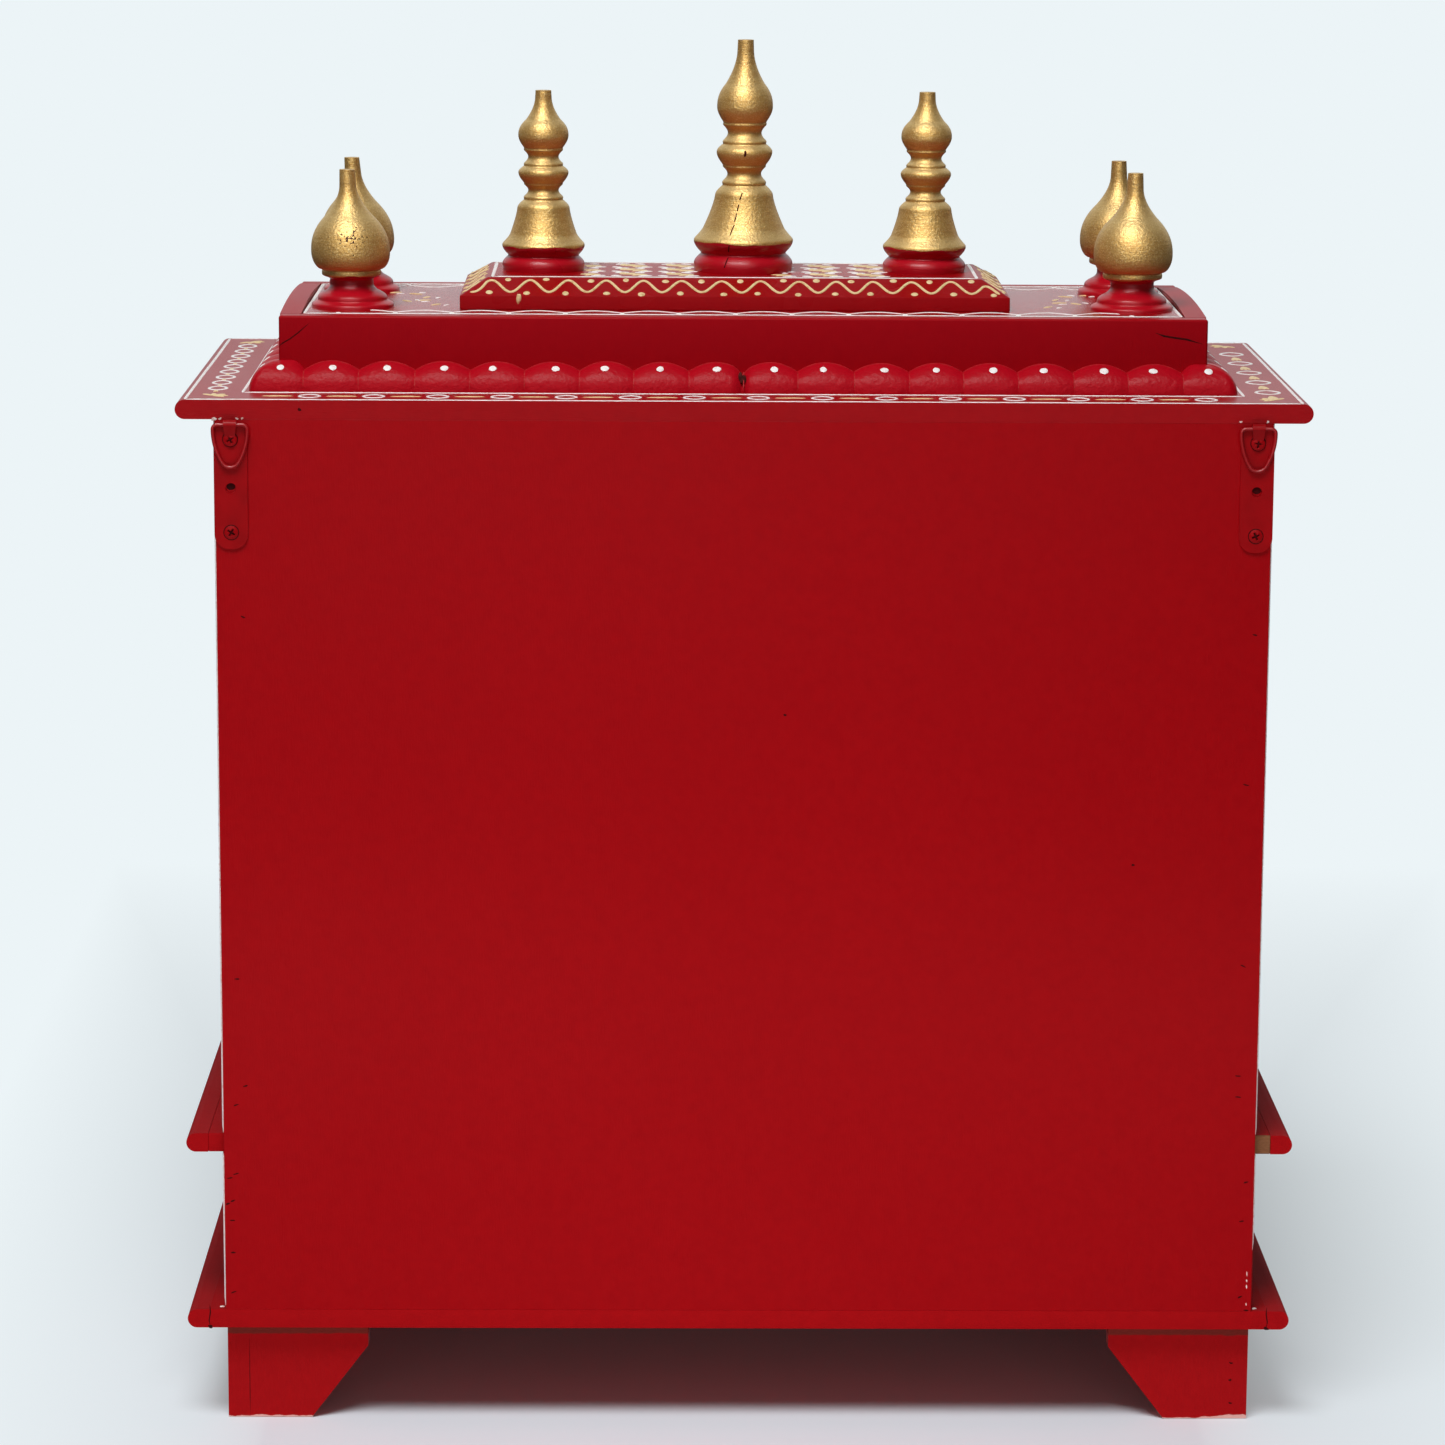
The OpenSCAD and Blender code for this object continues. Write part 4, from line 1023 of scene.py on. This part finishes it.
def screws():
    """Two cross-slot screws in each hanger, painted over with it. Dark dabs in their slots and in each
    strap's spare hole are painted shade, and a dark ring round each head is a painted shadow.
    """
    heads, slots = [], []
    middle = (STRAP_LOW[0] + STRAP_HIGH[0]) / 2
    angle = np.arange(32)[:, None] * TAU / 32
    rim = (SCREW_RADIUS + 0.2) * (X * np.cos(angle) + Z * np.sin(angle))
    for side in (-1, 1):
        for k, (height, proud) in enumerate(SCREWS):
            place = np.array([side * middle, STRAP_LOW[1] + STRAP_T + proud, height])
            turn = 0.2 + 0.5 * k + 0.3 * side
            heads.append(screw_head(place, Y, SCREW_RADIUS, turn))
            # A dark ring round the head: a painted shadow
            slots.append(stroke(place - Y * proud + rim, Y, 0.5, 0.12, closed=True))
            # Dark dabs in the cross slots: painted shade
            for quarter in (0, TAU / 4):
                way = np.cross(Y, Z) * math.cos(turn + quarter) - Z * math.sin(turn + quarter)
                slots.append(dab(place, Y, way, 0.56 * SCREW_RADIUS, 0.16 * SCREW_RADIUS, 0.35))
        # A dark dab in the spare hole, set a little up: painted shade
        hole = np.array([side * SPARE_HOLE[0], STRAP_LOW[1], SPARE_HOLE[1]])
        slots.append(dab(hole + 0.7 * Z, Y, X, 2.4, 1.9, 0.05))
    add_piece("hanger_screws", joined(heads), STEEL_RED)
    add_piece("screw_painted_shade", joined(slots), DARK_MARKS_AND_SHADE)


# Nail marks on the back, as [X, Z] with the slant of each
NAILS = ((271.5, 192.5, -0.3), (276.8, 181.7, -0.4), (277.2, 142.6, -0.3), (280.7, 140.2, -0.1),
         (279.2, 127.2, -0.3), (282.0, 125.5, -0.3), (279.6, 116.0, -0.1), (279.4, 97.6, -0.1),
         (279.4, 74.9, -0.4), (269.8, 453.3, 0.5), (275.4, 252.8, 0.1), (-273.4, 199.6, 0.1),
         (-273.7, 187.7, 0.1), (-279.3, 139.1, -0.2), (-277.4, 116.8, -0.1), (-277.6, 73.3, -0.5),
         (-281.2, 65.6, 0.0), (-276.5, 445.5, 0.3), (-273.7, 362.8, 0.2), (-274.6, 261.7, 0.4))
# Where the end of a foot's side board meets its back board
FOOT_JOINT_X = 271.8
FOOT_NAILS = ((-274.6, 32.2), (-274.3, 22.3), (-274.7, 8.9))
FOOT_NAIL_SLANT = math.atan(0.3)
PANEL_SPECKS = ((-22.8, 400.6), (-213.2, 318.1))
# The crack at each end of the base board, as [in from the end, height above its underside]
BASE_CRACK = ((0.5, 0.6), (-0.2, 4.0), (0.6, 9.0), (0.3, 13.0))
# Heights of the worn dashes down the panel's edge, each from top to foot
SEAM_DASHES = ((88.0, 85.2), (83.4, 81.8), (80.4, 78.0), (69.8, 68.3))
CORNICE_SPOT = (238.3, 565.9)
# Cracks in the canopy's back board, as [X, Z] points, and the width of each
CANOPY_CRACKS = (
    (((253.0, 593.8), (250.5, 595.8), (246.7, 598.0), (242.3, 601.3), (236.0, 606.8)), 0.7),
    (((-224.1, 603.3), (-229.0, 601.5), (-236.1, 600.4), (-241.5, 599.7), (-250.0, 597.2)), 1.1))
# Chips along the panel's top edge, as X, Z, half length and half width
EDGE_CHIPS = ((284.0, 560.6, 1.8, 0.7), (280.8, 560.8, 0.8, 0.6), (271.7, 560.9, 0.9, 0.5),
              (269.0, 561.0, 0.6, 0.6), (-266.0, 561.4, 0.7, 0.6), (-280.5, 561.4, 0.8, 0.6))
# How high a dark mark stands, and how deep it is let in
MARK_HEIGHT = 0.04
MARK_SINK = 0.1


def back_mark(x, z, face, half_long, half_wide, ragged, seed, slant=0.0):
    """A thin dark dab on an upright face towards the back; its length slants up from X."""
    way = X * math.cos(slant) + Z * math.sin(slant)
    place = np.array([x, face, z])
    return dab(place, Y, way, half_long, half_wide, MARK_HEIGHT, MARK_SINK, ragged, seed)


def crack(points, face, width, height=0.03):
    """A hair-thin stroke through [X, Z] points on an upright face towards the back."""
    return stroke([(x, face, z) for x, z in points], Y, width, height)


def marks_on_back():
    """Nail marks, cracks and chips on the back: low dabs and hair-thin strokes on the boards."""
    panel, foot, base = PANEL_HIGH[1], FOOT_HIGH[1], BASE_HIGH[1]
    dark = [back_mark(x, z, panel, 1.5, 0.42, 0.3, k, slant) for k, (x, z, slant) in enumerate(NAILS)]
    dark += [back_mark(x, z, foot, 0.9, 0.6, 0.4, 30 + k, FOOT_NAIL_SLANT)
             for k, (x, z) in enumerate(FOOT_NAILS)]
    dark += [back_mark(x, z, panel, 0.8, 0.7, 0.3, 90 + k) for k, (x, z) in enumerate(PANEL_SPECKS)]
    joint = [(FOOT_JOINT_X, z) for z in (1.0, 12.0, 26.0, FOOT_HIGH[2] - 6)]
    dark.append(crack(joint, foot, 0.4, 0.02))
    for side in (-1, 1):
        ends = [(side * (BASE_HIGH[0] - shift), BASE_LOW[2] + up) for shift, up in BASE_CRACK]
        dark.append(crack(ends, base, 0.7))
        dark.append(back_mark(*ends[0], base, 1.5, 0.9, 0.4, 96 + side))
    dark += [crack(points, RIM_HIGH[1], width) for points, width in CANOPY_CRACKS]
    dark.append(back_mark(*CORNICE_SPOT, CORNICE_HIGH[1], 1.0, 0.8, 0.3, 95))
    pale = [dab(np.array([x, panel, z]), Y, X, half_long, half_wide, 0.06, 0.2, 0.5, 50 + k)
            for k, (x, z, half_long, half_wide) in enumerate(EDGE_CHIPS)]
    pale += [crack(np.linspace((-281.0, top), (-281.2, low), 4), panel, 0.7, 0.05)
             for top, low in SEAM_DASHES]
    add_piece("nail_marks_and_cracks", joined(dark), DARK_MARKS_AND_SHADE)
    add_piece("pale_chips", joined(pale), PALE_CHIPS)
    place = np.array([1.0, PETALS_HIGH[1] - 4.2, PETALS_LOW[2] + 8.0])
    chip = dab(place, unit(Y + 0.6 * Z), X, 1.8, 3.4, 0.3, 1.0, 0.55, 70)
    add_piece("petal_chip", chip, BARE_CHIPS)


# Stage, light and camera

BACKDROP = rgb(236, 244, 247)
FLOOR = rgb(236, 245, 253)
FLOOR_REACH = 6000.0
FLOOR_LEVEL = -0.3
# Where the floor starts to melt into the backdrop and where it has, in metres, to either side
MELT_X = ((0.262, 0.5), (-0.255, -0.615))
MELT_Y = ((0.19, 0.52), (-0.19, -1.3))
# The world's even light, its gloss on the camera's side, and its strip and round light
AMBIENT = 0.05
GLOSSY_DIM = 0.08
STRIP = 0.6
STRIP_X = 0.1
ROUND_LIGHT = 2.5
ROUND_LIGHT_HEIGHT = math.radians(25)
# Lamps, in watts
KEY_POWER = 19.5
CARD_POWER = 2.4
CARD_TINT = (1, 0.55, 0.52)
FILL_POWER = 7.0
# The camera: image size and focal length in pixels, place in millimetres, turns in degrees
IMAGE_SIZE = 1445.0
CAMERA_FOCAL = 5062.99
CAMERA_PLACE = (44.68, 2838.76, 909.13)
CAMERA_PITCH, CAMERA_YAW, CAMERA_ROLL = 10.778, -0.7156, 0.3344
SENSOR = 36.0


def stage():
    """A pale floor that melts into the backdrop away from the temple."""
    reach = np.full(2, FLOOR_REACH)
    points = rectangle(-reach, reach, 2, FLOOR_LEVEL)
    mesh = bpy.data.meshes.new("floor")
    mesh.from_pydata((points * MM).tolist(), [], [[0, 1, 2, 3]])
    f = Finish("pale_floor")
    f.apply(colour=FLOOR, rough=0.9, gloss=0.0)
    x, y = f.coordinate("X"), f.coordinate("Y")
    beside = f.calc("MAXIMUM", *(f.ramp(x, *melt) for melt in MELT_X))
    along = f.calc("MAXIMUM", *(f.ramp(y, *melt) for melt in MELT_Y))
    away = f.calc("MAXIMUM", beside, along)
    seen = f.node("LightPath").outputs["Is Camera Ray"]
    share = f.calc("MULTIPLY", f.calc("POWER", away, 0.45), seen)
    glow = f.node("Emission", {"Color": BACKDROP, "Strength": 1.0}).outputs["Emission"]
    both = f.node("MixShader", {0: share, 1: f.shader.outputs["BSDF"], 2: glow})
    f.tree.links.new(both.outputs["Shader"], f.tree.nodes["Material Output"].inputs["Surface"])
    mesh.materials.append(f.material)
    floor = add_object("floor", mesh)
    floor.visible_glossy = False
    return floor


class Sky(Finish):
    """The same node tools on a world, where the place stands for the way that a ray goes."""

    def __init__(self, world):
        self.tree = world.node_tree
        self.place = self.node("TexCoord").outputs["Object"]


def backdrop_world():
    """A pale world. Seen straight or through glass it is the backdrop. In gloss it is as bright beyond
    the temple, and dim on the camera's side but for a tall soft strip and a round soft light, as in a
    studio. It gives an even, lower ambient light."""
    world = bpy.data.worlds.new("studio")
    bpy.context.scene.world = world
    world.use_nodes = True
    world.cycles.sampling_method = "NONE"
    f = Sky(world)
    x, y, z = f.coordinate("X"), f.coordinate("Y"), f.coordinate("Z")
    beyond = f.calc("MULTIPLY", f.ramp(y, -0.2, -0.7), f.ramp(z, -0.02, 0.08))
    beyond = f.calc("MAXIMUM", beyond, GLOSSY_DIM)
    across = f.calc("ABSOLUTE", f.calc("SUBTRACT", x, STRIP_X))
    strip = f.calc("MULTIPLY", f.ramp(across, 0.5, 0.12, 0, STRIP), f.ramp(z, 0.1, 0.35))
    strip = f.calc("MULTIPLY", strip, f.ramp(y, -0.1, 0.2))
    aim = (STRIP_X, math.cos(ROUND_LIGHT_HEIGHT), math.sin(ROUND_LIGHT_HEIGHT))
    toward = f.node("VectorMath", {0: f.place, 1: aim}, operation="DOT_PRODUCT").outputs["Value"]
    strip = f.calc("ADD", strip, f.ramp(toward, 0.8, 0.93, 0, ROUND_LIGHT))
    ray = f.node("LightPath").outputs
    seen = f.calc("MAXIMUM", ray["Is Camera Ray"], ray["Is Transmission Ray"])
    gloss = f.calc("MULTIPLY", ray["Is Glossy Ray"], f.calc("ADD", beyond, strip))
    other = f.calc("SUBTRACT", 1.0, f.calc("MAXIMUM", seen, ray["Is Glossy Ray"]))
    strength = f.calc("ADD", f.calc("ADD", seen, gloss), f.calc("MULTIPLY", other, AMBIENT))
    background = f.tree.nodes["Background"]
    f.join(BACKDROP, background.inputs["Color"])
    f.join(strength, background.inputs["Strength"])


def stand(thing, place, right, up, back):
    """Stands a lamp or camera at a place, in metres, turned by its three axes."""
    turn = Matrix(np.stack([right, up, back], 1).tolist())
    thing.matrix_world = Matrix.Translation(place) @ turn.to_4x4()


def softbox(name, place, aim, size, power, spread, tint=(1, 1, 1), in_gloss=True):
    """A large soft lamp that faces a point and fades away from it, to nothing at half the spread."""
    lamp = bpy.data.lights.new(name, "AREA")
    lamp.shape = "RECTANGLE"
    lamp.size, lamp.size_y = size
    lamp.energy = power
    lamp.color = tint
    lamp.spread = math.radians(spread)
    box = add_object(name, lamp)
    back = unit(np.subtract(place, aim))
    right = unit(np.cross(Z, back))
    stand(box, place, right, np.cross(back, right), back)
    box.visible_glossy = in_gloss
    return box


def keep_off(lamp, piece):
    """Keeps a lamp's light off one piece."""
    spared = bpy.data.collections.new(f"spared_by_{lamp.name}")
    spared.objects.link(piece)
    spared.collection_objects[0].light_linking.link_state = "EXCLUDE"
    lamp.light_linking.receiver_collection = spared


def lamps(floor):
    """A key above the camera, a card that throws red back on the low boards, and a fill for the far
    side. The fill spares the floor, so the shadow stays as the key casts it."""
    softbox("key", (0.4, 1.3, 2.7), (0, 0.3, 0.1), (1.4, 1.0), KEY_POWER, 100)
    softbox("bounce_card", (0, 0.75, 0.06), (0, 0.15, 0.1), (1.3, 0.12), CARD_POWER, 180, CARD_TINT,
            in_gloss=False)
    fill = softbox("front_fill", (-0.7, -2.5, 1.0), (0, -0.15, 0.35), (1.6, 1.0), FILL_POWER, 120,
                   in_gloss=False)
    keep_off(fill, floor)


def camera():
    """The camera stands behind the temple and looks a little down, as the photograph was taken."""
    pitch, yaw, roll = np.radians([CAMERA_PITCH, CAMERA_YAW, CAMERA_ROLL])
    turn = Matrix.Rotation(roll, 3, "Z") @ Matrix.Rotation(pitch, 3, "X")
    level = np.stack([-X, -Z, -Y])
    right, down, ahead = np.array(turn @ Matrix.Rotation(yaw, 3, "Y")) @ level
    lens = bpy.data.cameras.new("camera")
    lens.sensor_width = SENSOR
    lens.lens = CAMERA_FOCAL / IMAGE_SIZE * SENSOR
    eye = add_object("camera", lens)
    stand(eye, np.array(CAMERA_PLACE) * MM, right, -down, -ahead)
    bpy.context.scene.camera = eye


dress_nodes()
soft_boards()
crown_block()
finials()
kalash_cracks()
petals()
cornice_lines()
deck_lines()
crown_lines()
wall_lines()
screws()
marks_on_back()

backdrop_world()
lamps(stage())
camera()
bpy.context.scene.view_settings.view_transform = "Standard"
